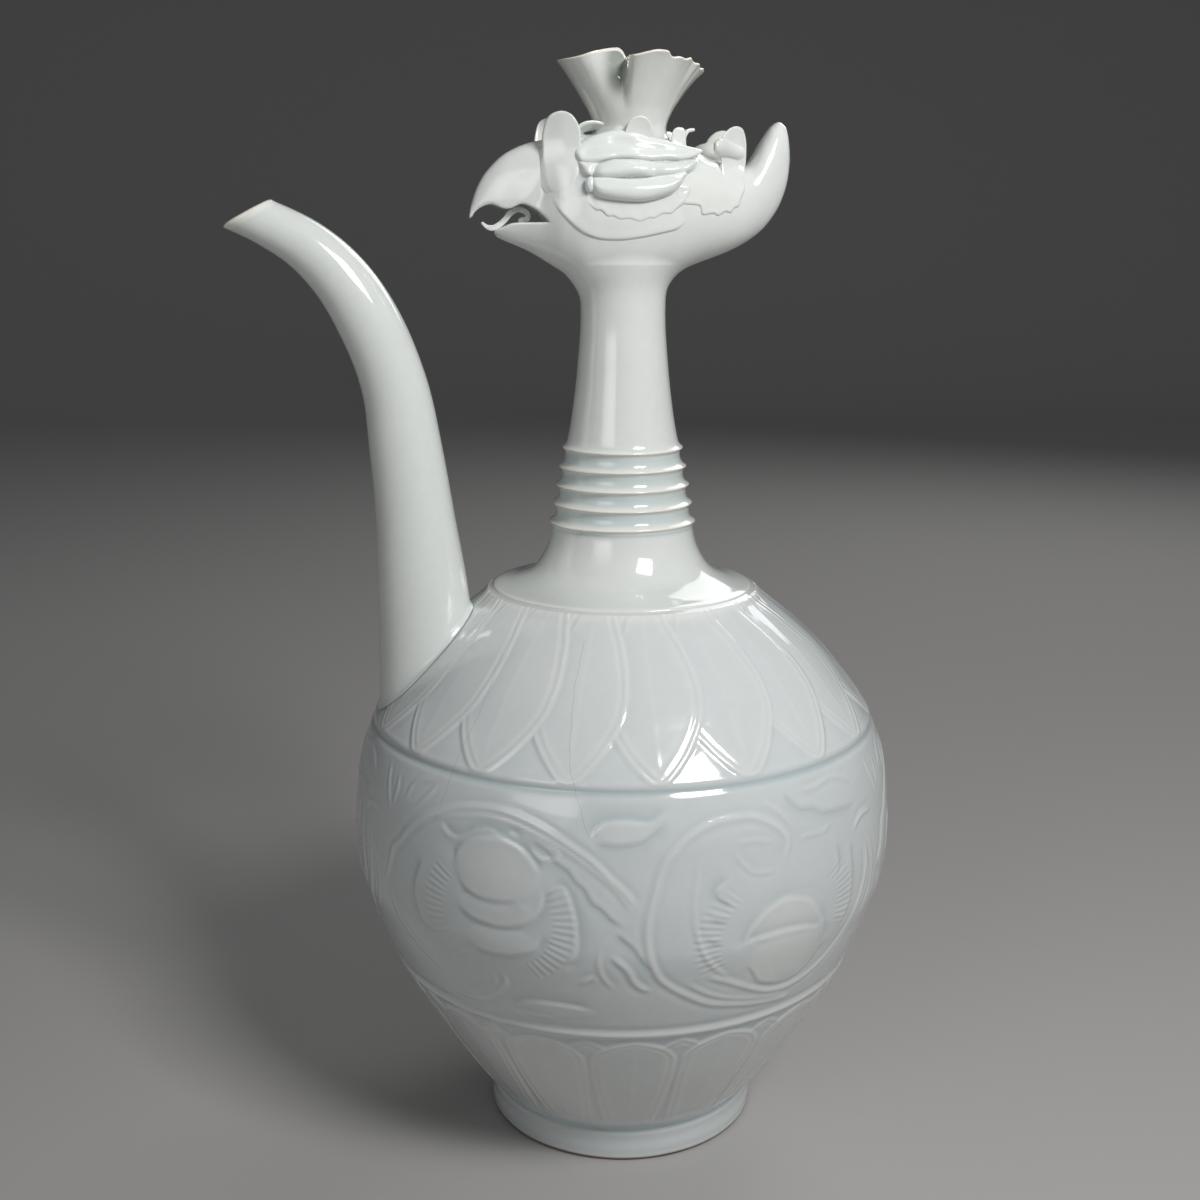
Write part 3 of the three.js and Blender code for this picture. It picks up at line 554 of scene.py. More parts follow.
# Edges of leaves and petals: the lower ground lies on the left of the first kind, on the right of the second.
left_cuts = [
    [(222, 144), (224, 141), (226, 140.5), (228, 142), (230, 144), (233, 145), (236, 144), (238, 145),
     (241, 142.5)],
    [(225, 131), (226, 136), (228, 139.5), (231, 142), (235, 143), (238.5, 142), (241, 139.5), (243, 136),
     (244.5, 132)],
    [(246, 128.5), (249, 129), (251, 120), (251.5, 113), (251.5, 107), (250.5, 102), (248, 100)],
    [(235, 79), (237, 82), (240, 84), (244, 84.5), (249, 84), (253, 83)],
    [(253, 144), (254, 148), (256, 150.5), (260, 151), (264, 150.5), (266, 152), (268, 154)],
    [(282, 104), (283, 109), (285, 114), (288, 118), (292, 120), (296, 118.5), (299, 116), (301, 111),
     (303, 106), (304, 100), (304.5, 96)],
    [(282.5, 105), (284, 107.5), (288, 108.3), (292, 108.6), (295, 108), (298, 107), (302, 104.5)],
    [(311, 131), (311.5, 125), (312, 118), (312, 110), (311, 104), (309, 99)],
    [(306, 133), (307, 127), (307, 120)],
]
right_cuts = [
    [(241, 143), (245, 139.5), (247, 135.5), (249, 133.5), (250.5, 130), (252, 128), (253.5, 123.5),
     (255.5, 121), (257, 118), (259.5, 115)],
    [(257.5, 113.5), (261, 108), (262.5, 104), (264, 100.5), (266, 99)],
    [(226.5, 124), (229, 121.5), (232, 120), (236, 120), (240, 121.5)],
    [(226.5, 115.5), (229, 113), (232, 111.5), (236, 111), (239, 112), (242, 114.5), (244, 118), (245, 122),
     (245.3, 128)],
    [(229, 101), (234, 100.5), (239, 101.5), (243, 105), (245, 112)],
    [(217, 129), (215, 121), (214.5, 113), (216, 106), (219.5, 102)],
    [(253.5, 143), (258, 142), (262, 142.8), (264, 144.5), (266, 147), (268, 149.5)],
    [(292.5, 154), (295, 149), (297, 147), (300, 146), (303, 143.5), (308, 142.5), (314, 141.5)],
    [(280, 131), (277, 128), (276.5, 125), (279, 121), (281, 120)],
    [(275, 117.5), (277, 115.5), (280, 114.5)],
    [(275, 111), (276, 108), (279, 106)],
    [(284, 97), (286, 92), (288, 87.5), (292, 84.6), (296, 83.8), (300, 85.5), (303, 90), (305, 97)],
]
# Swelling petals: middle, half width and half height, and how far they stand out
swellings = [
    (235, 131, 16, 11, 0.35), (235, 117, 15, 6, 0.22), (236, 106, 14, 6, 0.22), (293, 112, 16, 9, 0.3),
    (293, 96, 17, 10, 0.35), (259.5, 147, 9, 4, 0.2), (246, 80.5, 14, 3.5, 0.2),
]
# Combed borders of the two flowers: middle, half width and height of the flower, and from which turn to which
combed_borders = [(235, 115, 19, 17, -65, 42), (235, 115, 20, 17, 138, 228), (292, 108, 23, 18, 128, 214),
                  (292, 110, 24, 17, -25, 48)]
comb_pitch = 2.5
stroke_taper = 5
# Half width and rise of the two kinds of stems
wide_stem = (0.95, 0.33)
thin_stem = (0.75, 0.22)
blade_depth = 0.36
blade_slant = 2.8
blade_back = 1.3
seam_groove = 0.6


def traced(points):
    """A smooth route through (azimuth, height) points, in millimetres on the rolled-out wall."""
    spots = np.array(points, float) * (DEGREE * roll_radius, 1)
    ends = np.concatenate([[2 * spots[0] - spots[1]], spots, [2 * spots[-1] - spots[-2]]])
    before, start, end, after = ends[:-3, None], ends[1:-2, None], ends[2:-1, None], ends[3:, None]
    u = np.arange(0, 1, 0.2)[None, :, None]
    route = 2 * start + (end - before) * u + (2 * before - 5 * start + 4 * end - after) * u**2
    route = (route + (3 * start - before - 3 * end + after) * u**3) / 2
    return np.concatenate([route.reshape(-1, 2), spots[-1:]])


def route_distance(route, across, up, reach):
    """Signed distance of places on the wall from a route, positive on its left, and the stroke's fullness."""
    distance = np.full(across.shape, 99.0)
    fullness = np.zeros(across.shape)
    travelled = np.concatenate([[0], np.cumsum(np.hypot(*np.diff(route, axis=0).T))])
    low, high = route.min(axis=0) - reach, route.max(axis=0) + reach
    near = (across > low[0]) & (across < high[0]) & (up > low[1]) & (up < high[1])
    x, y = across[near], up[near]
    nearest = np.full(x.shape, 99.0)
    side = np.ones(x.shape)
    spot = np.zeros(x.shape)
    for k, (start, end) in enumerate(zip(route[:-1], route[1:])):
        run = end - start
        u = np.clip(((x - start[0]) * run[0] + (y - start[1]) * run[1]) / (run @ run), 0, 1)
        dx, dy = x - start[0] - u * run[0], y - start[1] - u * run[1]
        gap = np.hypot(dx, dy)
        closer = gap < nearest
        nearest = np.where(closer, gap, nearest)
        side = np.where(closer, np.where(run[0] * dy - run[1] * dx < 0, -1, 1), side)
        spot = np.where(closer, travelled[k] + u * (travelled[k + 1] - travelled[k]), spot)
    distance[near] = nearest * side
    fullness[near] = smooth_step(np.minimum(spot, travelled[-1] - spot) / stroke_taper + 0.1)
    return distance, fullness


def scroll_places(azimuth, height):
    """Places on the wall, folded into one pair of flowers, with a drift of the hand in the unseen pairs."""
    turn = np.mod(azimuth - scroll_start, 360)
    away = smooth_step((turn - scroll_pitch) / 25) * smooth_step((360 - turn) / 25)
    drift = away * (0.9 * np.sin(turn * DEGREE * 5) + 0.5 * np.sin(turn * DEGREE * 11 + 1))
    folded = scroll_start + np.mod(turn + drift, scroll_pitch)
    across = folded * DEGREE * roll_radius + 0 * height[:, None]
    up = height[:, None]
    lift = away * 1.1 * np.sin(turn * DEGREE * 4)
    return across, up + lift * smooth_step((up - scroll_bottom) / 8) * smooth_step((scroll_top - up) / 8)


def scroll_copies(points):
    """The traced route and, where it leaves the pair of flowers, its copy on the pair beside it."""
    yield traced(points)
    for turn in (-scroll_pitch, scroll_pitch):
        moved = [(a + turn, h) for a, h in points]
        if any(scroll_start - 4 < a < scroll_start + scroll_pitch + 4 for a, _ in moved):
            yield traced(moved)


def scroll_relief(azimuth, height):
    """Carving of the peony scroll, with the groove above it and the raised line below."""
    across, up = scroll_places(azimuth, height)
    swell = np.zeros(across.shape)
    for middle, level, half_width, half_height, rise in swellings:
        sideways = (across - middle * DEGREE * roll_radius) / half_width
        inside = 1 - sideways**2 - ((up - level) / half_height) ** 2
        swell = np.maximum(swell, rise * np.sqrt(np.clip(inside, 0, 1)))
    raised = np.zeros(across.shape)
    sunk = np.zeros(across.shape)
    for stems, (half, rise) in ((wide_stems, wide_stem), (thin_stems, thin_stem)):
        for stem in stems:
            for route in scroll_copies(stem):
                gap, full = route_distance(route, across, up, 5)
                gap = np.abs(gap)
                raised = np.maximum(raised, rise * full * bump_of(gap, half * (0.6 + 0.4 * full)))
                sunk = np.minimum(sunk, -0.45 * rise * full * bump_of(gap - 2.2 * half, 1.1 * half))
    for cuts, side in ((left_cuts, 1), (right_cuts, -1)):
        for cut in cuts:
            for route in scroll_copies(cut):
                gap, full = route_distance(route, across, up, 9)
                gap = gap * side
                slant = np.exp(-np.maximum(gap, 0) / blade_slant)
                slant = np.where(gap > 0, slant, smooth_step(1 + gap / blade_back))
                sunk = np.minimum(sunk, -blade_depth * full * slant)
                raised = np.maximum(raised, 0.1 * full * bump_of(gap + 1.9, 0.9))
    relief = swell + raised + sunk * (1 - np.clip(raised / 0.3, 0, 1))
    line = seam_line_rise * bump_of(height - lower_seam, seam_line_half_width)
    line = line - 0.2 * bump_of(height - lower_seam - beside_seam_line, 1.2)
    groove = -seam_groove * bump_of(height - upper_seam, seam_line_half_width)
    edge = smooth_step((height - lower_seam - 1.5) / 4) * smooth_step((upper_seam - 1.5 - height) / 3)
    return relief * edge[:, None] + (line + groove)[:, None]


def comb_marks(azimuth, height):
    """Phase and strength of the fine combed lines that point to the middle of each flower."""
    across, up = scroll_places(azimuth, height)
    phase = np.zeros(across.shape)
    strength = np.zeros(across.shape)
    for middle, level, half_width, half_height, first, last in combed_borders:
        x = across - middle * DEGREE * roll_radius
        y = up - level
        ring = np.hypot(x / half_width, y / half_height)
        turn = np.degrees(np.arctan2(y / half_height, x / half_width))
        turn = np.mod(turn - first, 360) + first
        size = (half_width + half_height) / 2
        inside = smooth_step((ring - 1.0) / 0.12) * smooth_step((1.5 - ring) / 0.12)
        inside *= smooth_step((turn - first) / 8) * smooth_step((last - turn) / 8)
        chosen = inside > strength
        phase = np.where(chosen, turn * DEGREE * size * 1.2 * 2 * math.pi / comb_pitch, phase)
        strength = np.maximum(strength, inside)
    return phase, strength


def with_plain_rows(fields, rows):
    """The values of the carved outside, with more rows for the surfaces that have no carving and no crack."""
    longer = {}
    for key, field in fields.items():
        plain = far_from_crack if key == "crack_distance" else 0.0
        longer[key] = np.concatenate([field, np.full((rows, field.shape[1]), plain)])
    return longer


middle_columns = 800
azimuth = np.arange(middle_columns) * 360 / middle_columns
height = np.linspace(lower_seam, upper_seam, 112)
points, normals, cut = carved_rings(azimuth, height, scroll_relief)
inner = turned_rings(azimuth, wall_inside(np.linspace(upper_seam, lower_seam, 5)))
rings = np.concatenate([points, inner])
all_normals = grid_normals(rings, True)
all_normals[: len(points)] = normals
phase, strength = comb_marks(azimuth, height)
fields = {"glaze_depth": pooled_in(cut), "comb_phase": phase, "comb_strength": strength}
fields["crack_distance"] = crack_distances(azimuth, height)
glazed_piece(
    "middle_body", rings, grid_faces(len(rings), middle_columns, True), all_normals,
    with_plain_rows(fields, len(inner)), body_glaze,
)


# Upper body: the thrown dome of the shoulder, with overlapping petals that hang from the neck's disc.
# It is bored for the throat under the neck and cut through under the spout.
shoulder_petals = [
    (157.5, -5), (159.8, 0), (161, 2), (162.5, 3.3), (164, 4.3), (166, 5.6), (169, 7.4), (172, 9),
    (176, 10.9), (180, 12.3), (188, 13.3), (196, 12.5), (206, 9),
]
throat_radius = 21
spout_offset = 72.5
spout_foot_radius = 17
spout_wall = 2.7


shoulder_petal_pitch = 360 / 19
first_shoulder_petal = 248


def shoulder_relief(azimuth, height):
    """Carving of the shoulder, each petal over the next one on its right."""
    wander = 0.5 * np.sin(azimuth * DEGREE * 7) + 0.4 * np.sin(azimuth * DEGREE * 3 + 2)
    relief = petal_relief(
        azimuth + wander, height, 0, shoulder_petal_pitch, first_shoulder_petal, shoulder_petals, True, 0.22
    )
    edge = smooth_step((height - upper_seam - 1) / 2.5)
    groove = -seam_groove * bump_of(height - upper_seam, seam_line_half_width)
    groove = groove + 0.18 * bump_of(height - upper_seam - 2.4, 1.0)
    ledge = carving_sink * bump_of(height - body_height, 1.5)
    return relief * edge[:, None] + (groove + ledge)[:, None]


upper_columns = 760
azimuth = np.arange(upper_columns) * 360 / upper_columns
rise_shares = values_along([(0, 0), (0.5, 0.58), (1, 1)], np.linspace(0, 1, 104))
height = upper_seam + (body_height - upper_seam) * rise_shares
points, normals, cut = carved_rings(azimuth, height, shoulder_relief)
ceiling = body_height - body_wall
luting_lift = 0.7
# From the edge of the shoulder over the slip round the neck's disc and down through the throat
top_profile = [
    (shoulder_radius - 0.7, body_height + 0.12), (neck_disc_radius + 0.2, body_height + luting_lift),
    (neck_disc_radius - 0.6, body_height + luting_lift), (neck_disc_radius - 1.5, body_height),
    (throat_radius + 1, body_height), (throat_radius, body_height - 1), (throat_radius, ceiling + 1),
    (throat_radius + 1, ceiling),
]
under = turned_rings(azimuth, wall_inside(np.linspace(ceiling, upper_seam, 13)))
top = turned_rings(azimuth, top_profile)
rings = np.concatenate([points, top, under])
all_normals = grid_normals(rings, True)
all_normals[: len(points) - 1] = normals[:-1]
fields = {"glaze_depth": pooled_in(cut), "crack_distance": crack_distances(azimuth, height)}
fields = with_plain_rows(fields, len(top) + len(under))
# The hole under the spout is cut out of both walls, and its edges are joined.
quads = grid_faces(len(rings), upper_columns, True)
centres = rings.reshape(-1, 3)[quads].mean(axis=1)
in_hole = np.hypot(centres[:, 0] + spout_offset, centres[:, 1]) < spout_foot_radius - spout_wall
dome_mesh = bmesh.new()
corners = [dome_mesh.verts.new(point) for point in rings.reshape(-1, 3)]
for quad in quads[~in_hole].tolist():
    dome_mesh.faces.new([corners[k] for k in quad])
open_edges = [edge for edge in dome_mesh.edges if edge.is_boundary]
bmesh.ops.bridge_loops(dome_mesh, edges=open_edges)
dome_mesh.verts.index_update()
kept = [corner.index for corner in dome_mesh.verts if corner.link_faces]
renumbered = {old: new for new, old in enumerate(kept)}
faces = [[renumbered[corner.index] for corner in face.verts] for face in dome_mesh.faces]
dome_mesh.free()
glazed_piece(
    "upper_body", rings.reshape(-1, 3)[kept], faces, all_normals.reshape(-1, 3)[kept],
    {key: field.reshape(-1)[kept] for key, field in fields.items()}, body_glaze,
)


# Spout: a rolled and thrown tube that tapers and bends outwards, cut at a slant for its pouring lip.
# Its foot follows the shoulder, and the slip that lutes it on is smoothed into a small fillet.
spout_reach = 65.5
spout_rise = 156
spout_tip_radius = 7
spout_mouth_tilt = 28
spout_mouth_share = 0.955
spout_route_shares = [
    (0, -0.13), (0, 0.05), (0.04, 0.3), (0.08, 0.457), (0.13, 0.6), (0.23, 0.722), (0.38, 0.832),
    (0.55, 0.905), (0.75, 0.955), (1, 1),
]
spout_radius_shares = [
    (0, 1.05), (0.12, 1), (0.19, 0.94), (0.345, 0.69), (0.465, 0.57), (0.6, 0.43), (0.68, 0.4), (0.785, 0.28),
    (0.88, 0.12), (0.95, 0.03), (1, 0),
]
shoulder_heights = np.linspace(widest_height, body_height, 400)
spout_foot_height = float(np.interp(-spout_offset, -body_radius_at(shoulder_heights), shoulder_heights))


def smooth_route(points, steps):
    """Evenly spaced places along a smooth curve through the points."""
    spots = np.array(points, float)
    ends = np.concatenate([[2 * spots[0] - spots[1]], spots, [2 * spots[-1] - spots[-2]]])
    pace = np.linalg.norm(np.diff(ends, axis=0), axis=1) ** 0.5
    route = []
    for k in range(1, len(ends) - 2):
        before, start, end, after = ends[k - 1 : k + 3]
        a, b, c = pace[k - 1 : k + 2]
        leave = ((start - before) / a - (end - before) / (a + b) + (end - start) / b) * b
        arrive = ((end - start) / b - (after - start) / (b + c) + (after - end) / c) * b
        u = np.linspace(0, 1, 60, endpoint=False)[:, None]
        curve = 3 * (end - start) - 2 * leave - arrive
        twist = leave + arrive - 2 * (end - start)
        route.append(start + u * (leave + u * (curve + u * twist)))
    route = np.concatenate(route + [spots[-1:]])
    travelled = np.concatenate([[0], np.cumsum(np.linalg.norm(np.diff(route, axis=0), axis=1))])
    wanted = np.linspace(0, travelled[-1], steps)
    return np.stack([np.interp(wanted, travelled, route[:, k]) for k in range(route.shape[1])], axis=1)


sunk_steps = 24
sunk_depth = 8
spout_steps = 700
spout_columns = 160
centre_line = smooth_route(
    [
        (-spout_offset - out * spout_reach, spout_foot_height + up * spout_rise)
        for out, up in spout_route_shares
    ],
    spout_steps,
)
mouth_middle = centre_line[int(spout_mouth_share * (spout_steps - 1))]
sunk_line = centre_line[0] - np.linspace(sunk_depth, 0, sunk_steps, endpoint=False)[:, None] * (0, 1)
centre_line = np.concatenate([sunk_line, centre_line])
travel = np.gradient(centre_line, axis=0)
travel /= np.linalg.norm(travel, axis=1, keepdims=True)
share = np.concatenate([np.zeros(sunk_steps), np.linspace(0, 1, spout_steps)])
taper = values_along(spout_radius_shares, share)
spout_radius = spout_tip_radius + (spout_foot_radius - spout_tip_radius) * taper
angle = np.arange(spout_columns) * 2 * math.pi / spout_columns
mouth_normal = (-math.sin(math.radians(spout_mouth_tilt)), math.cos(math.radians(spout_mouth_tilt)))


def spout_skin(radius):
    """Points of the spout's skin for every step along it and every angle round it."""
    outward = np.cos(angle)[None, :] * radius
    x = centre_line[:, :1] + travel[:, 1:] * outward
    z = centre_line[:, 1:] - travel[:, :1] * outward
    return np.stack([x, np.sin(angle)[None, :] * radius, z], axis=-1)


def over_shoulder(points):
    """How far places stand off the shoulder, sideways."""
    level = np.clip(points[..., 2], widest_height, body_height)
    off = np.hypot(points[..., 0], points[..., 1]) - body_radius_at(level)
    return off / np.hypot(1, body_slope_at(np.minimum(level, body_height - 0.3)))


def trimmed_skin(points, mouth_gap, rows):
    """Rows of the skin from the shoulder's surface up to the plane of the mouth."""
    stand_off = over_shoulder(points)
    past_mouth = (points[..., 0] - mouth_middle[0]) * mouth_normal[0]
    past_mouth += (points[..., 2] - mouth_middle[1]) * mouth_normal[1] + mouth_gap
    trimmed = np.empty((rows, spout_columns, 3))
    place = np.arange(len(points))
    row_shares = np.linspace(0, 1, rows) ** 1.4
    for k in range(spout_columns):
        start = np.nonzero(stand_off[: spout_steps // 2, k] < 0)[0][-1]
        before = stand_off[start : start + 2, k]
        first = start - before[0] / (before[1] - before[0])
        end = np.nonzero(past_mouth[:, k] > 0)[0][0]
        after = past_mouth[end - 1 : end + 1, k]
        last = end - 1 - after[0] / (after[1] - after[0])
        wanted = first + (last - first) * row_shares
        for part in range(3):
            trimmed[:, k, part] = np.interp(wanted, place, points[:, k, part])
    return trimmed


# The slip round the foot makes a small fillet, fuller on the side of the neck.
fillet_size = 2.4
bare_skin = spout_skin(spout_radius[:, None])
into_fillet = np.clip(fillet_size - over_shoulder(bare_skin), 0, fillet_size)
fillet = (fillet_size - np.sqrt(fillet_size**2 - into_fillet**2)) * (0.6 + 0.4 * np.cos(angle))
lip_round = 1.1
skin = trimmed_skin(spout_skin(spout_radius[:, None] + fillet), lip_round, 330)
bore_skin = trimmed_skin(spout_skin((spout_radius - spout_wall)[:, None]), lip_round, 120)
lip_start, lip_end = skin[-1], bore_skin[-1]
lip_rows = []
for turn in np.linspace(0, math.pi, 10)[1:-1]:
    across = (1 - math.cos(turn)) / 2
    bulge = np.array([mouth_normal[0], 0, mouth_normal[1]]) * lip_round * math.sin(turn)
    lip_rows.append(lip_start + (lip_end - lip_start) * across + bulge)
rings = np.concatenate([skin, lip_rows, bore_skin[::-1]])
all_normals = -grid_normals(rings, True)
all_normals[0] = all_normals[1]
pool = np.zeros(rings.shape[:2])
pool[: len(skin)] = 0.45 * np.exp(-np.maximum(over_shoulder(skin), 0) / 3)
pool[len(skin) - 3 : len(skin) + len(lip_rows)] = -0.8
spout_glaze = glaze_material("spout_glaze", (238, 238, 230), (226, 230, 226), (196, 209, 207))
glazed_piece(
    "spout", rings, grid_faces(len(rings), spout_columns, True)[:, ::-1], all_normals,
    {"glaze_depth": pool}, spout_glaze,
)


# Head: two press-moulded halves, luted along the median plane, with the hollow, the neck's bore and the
# crown's bore between them. The beak is cut open and the skull flows into the neck.
beak_reach = 54.4
head_length = 114.6
head_height = 57.7
head_half_width = 20.5
head_wall = 4.5
head_roundness = 2.3
neck_waist_radius = 15
neck_height = 106.5
neck_wall = 4.2
neck_shares = [
    (0.014, 1), (0.03, 0.77), (0.056, 0.585), (0.09, 0.477), (0.16, 0.363), (0.2, 0.33), (0.33, 0.25),
    (0.46, 0.18), (0.6, 0.098), (0.76, 0.037), (0.92, 0.003), (1, 0.006),
]
head_seat = body_height + neck_height
crown_offset = 2.3
crown_bore_radius = 8
head_top_shares = [
    (0, 0.4), (0.01, 0.5), (0.03, 0.61), (0.057, 0.695), (0.119, 0.806), (0.195, 0.867), (0.3, 0.9),
    (0.48, 0.924), (0.585, 0.9), (0.673, 0.84), (0.761, 0.763), (0.83, 0.73), (0.856, 0.747),
    (0.909, 0.906), (0.934, 0.975), (0.955, 1), (0.975, 0.98), (0.99, 0.9), (1, 0.785),
]
head_bottom_shares = [
    (0, 0.385), (0.03, 0.37), (0.055, 0.352), (0.091, 0.312), (0.173, 0.243), (0.275, 0.125), (0.35, 0.035),
    (0.48, 0.01), (0.6, 0.07), (0.685, 0.147), (0.814, 0.243), (0.9, 0.345), (0.957, 0.482), (0.985, 0.62),
    (1, 0.76),
]
head_width_shares = [
    (0, 0.07), (0.033, 0.17), (0.085, 0.31), (0.155, 0.44), (0.21, 0.57), (0.28, 0.81), (0.37, 0.95),
    (0.47, 1), (0.6, 0.97), (0.7, 0.86), (0.8, 0.69), (0.88, 0.51), (0.94, 0.37), (0.98, 0.23), (1, 0.08),
]
mouth_shares = [
    (-0.04, 0.39), (0.006, 0.425), (0.02, 0.46), (0.04, 0.49), (0.068, 0.505), (0.1, 0.482), (0.122, 0.48),
    (0.158, 0.506), (0.197, 0.471), (0.229, 0.409), (0.219, 0.402), (0.137, 0.4), (0.107, 0.381),
    (0.078, 0.354), (0.075, 0.3), (-0.04, 0.27),
]


def neck_radius_at(height):
    """Radius of the thrown neck at a height over its foot."""
    spread = values_along(neck_shares, np.asarray(height) / neck_height)
    return neck_waist_radius + (neck_disc_radius - neck_waist_radius) * spread


def soft_min(first, second, reach):
    """The lesser of two fields, blended where they lie closer together than the reach."""
    blend = np.maximum(reach - np.abs(first - second), 0) / reach
    return np.minimum(first, second) - blend * blend * reach / 4


def soft_max(first, second, reach):
    """The greater of two fields, blended in the same way."""
    return -soft_min(-first, -second, reach)


def head_section(x):
    """Half width, middle height and half height of the head at places along it."""
    along = np.clip((x + beak_reach) / head_length, 0, 1)
    top = values_along(head_top_shares, along) * head_height
    bottom = values_along(head_bottom_shares, along) * head_height
    width = values_along(head_width_shares, along) * head_half_width
    return width, (top + bottom) / 2, (top - bottom) / 2


def head_distance(x, y, z, growth=0.0):
    """Distance off the skin of the skull and beak, negative inside; z counts from the head's seat."""
    def grown_section(place):
        width, middle, half = head_section(place)
        return np.maximum(width + growth, 0.3), middle, np.maximum(half + growth, 0.3)

    def spread(place):
        width, middle, half = grown_section(place)
        wide = (np.abs(y) / width) ** head_roundness
        high = (np.abs(z - middle) / half) ** head_roundness
        return (wide + high) ** (1 / head_roundness)

    width, middle, half = grown_section(x)
    size = spread(x)
    lengthwise = (spread(x + 0.2) - spread(x - 0.2)) / 0.4
    power = np.maximum(size, 0.05) ** (1 - head_roundness)
    sideways = power * (np.abs(y) / width) ** (head_roundness - 1) / width
    upwards = power * (np.abs(z - middle) / half) ** (head_roundness - 1) / half
    steep = np.sqrt(lengthwise**2 + sideways**2 + upwards**2)
    off = (size - 1) / np.maximum(steep, 0.02)
    off = np.maximum(off, -beak_reach - growth - x)
    return soft_max(off, x - (head_length - beak_reach) - growth + 0 * off, 3.0)


def outline_inset(outline, x, z):
    """How far places lie inside a closed outline, negative outside it."""
    distance = np.full(np.broadcast(x, z).shape, 1e9)
    inside = np.zeros(distance.shape, bool)
    for (ax, az), (bx, bz) in zip(outline, np.roll(outline, -1, axis=0)):
        run = max((bx - ax) ** 2 + (bz - az) ** 2, 1e-12)
        u = np.clip(((x - ax) * (bx - ax) + (z - az) * (bz - az)) / run, 0, 1)
        distance = np.minimum(distance, np.hypot(x - ax - u * (bx - ax), z - az - u * (bz - az)))
        crosses = ((az > z) != (bz > z)) & (x < (bx - ax) * (z - az) / np.where(bz == az, 1, bz - az) + ax)
        inside ^= crosses
    return np.where(inside, distance, -distance)


def rounded_outline(points, steps=6):
    """A closed outline through the points with its corners softened."""
    spots = np.array(points, float)
    before, after, far = np.roll(spots, 1, axis=0), np.roll(spots, -1, axis=0), np.roll(spots, -2, axis=0)
    u = np.linspace(0, 1, steps, endpoint=False)[None, :, None]
    b, s, e, f = before[:, None], spots[:, None], after[:, None], far[:, None]
    curve = 2 * s + (e - b) * u + (2 * b - 5 * s + 4 * e - f) * u**2 + (3 * s - b - 3 * e + f) * u**3
    return curve.reshape(-1, 2) / 2


def skull_field(x, y, z):
    """The outside of the whole head with the start of the neck."""
    skin = head_distance(x, y, z)
    flare = neck_radius_at(neck_height + np.minimum(z, 0)) + 0.25 * smooth_step(z / 6)
    return soft_min(skin, np.hypot(x, y) - flare + 0 * z + np.maximum(z - 9, 0), 7.0)


def shell_of(field, corner, cell):
    """Points and faces of the surface where a sampled distance field passes through zero."""
    inside = field < 0
    cells, spots, loops = [], [], []
    for axis in range(3):
        start = [slice(None)] * 3
        end = [slice(None)] * 3
        start[axis], end[axis] = slice(0, -1), slice(1, None)
        place = np.argwhere(inside[tuple(start)] != inside[tuple(end)])
        further = place.copy()
        further[:, axis] += 1
        here, there = field[tuple(place.T)], field[tuple(further.T)]
        spot = place.astype(float)
        spot[:, axis] += here / (here - there)
        loop = np.repeat(place[:, None, :], 4, axis=1)
        one, two = (axis + 1) % 3, (axis + 2) % 3
        loop[:, 1:3, one] -= 1
        loop[:, 2:4, two] -= 1
        backwards = here > 0
        loop[backwards] = loop[backwards][:, ::-1]
        ids = np.ravel_multi_index(tuple(np.moveaxis(loop, -1, 0)), field.shape)
        loops.append(ids)
        cells.append(ids.ravel())
        spots.append(np.repeat(spot, 4, axis=0))
    used, numbers = np.unique(np.concatenate(cells), return_inverse=True)
    numbers = numbers.ravel()
    spots = np.concatenate(spots)
    count = np.bincount(numbers)
    points = np.stack([np.bincount(numbers, spots[:, k]) / count for k in range(3)], axis=1)
    return corner + points * cell, numbers.reshape(-1, 4)


def sampled(field, corner, cell, points):
    """Values of a sampled field at points between its samples."""
    place = np.clip((points - corner) / cell, 0, np.array(field.shape[:3]) - 1.001)
    low = place.astype(int)
    part = place - low
    total = 0
    for dx in (0, 1):
        for dy in (0, 1):
            for dz in (0, 1):
                weight = abs(1 - dx - part[:, 0]) * abs(1 - dy - part[:, 1]) * abs(1 - dz - part[:, 2])
                value = field[low[:, 0] + dx, low[:, 1] + dy, low[:, 2] + dz]
                total = total + (value.T * weight).T
    return total


def grid_axes(low, high, cell):
    """Three axes of sample places that span a box."""
    spans = [np.arange(a, b + cell, cell) for a, b in zip(low, high)]
    return spans[0][:, None, None], spans[1][None, :, None], spans[2][None, None, :]


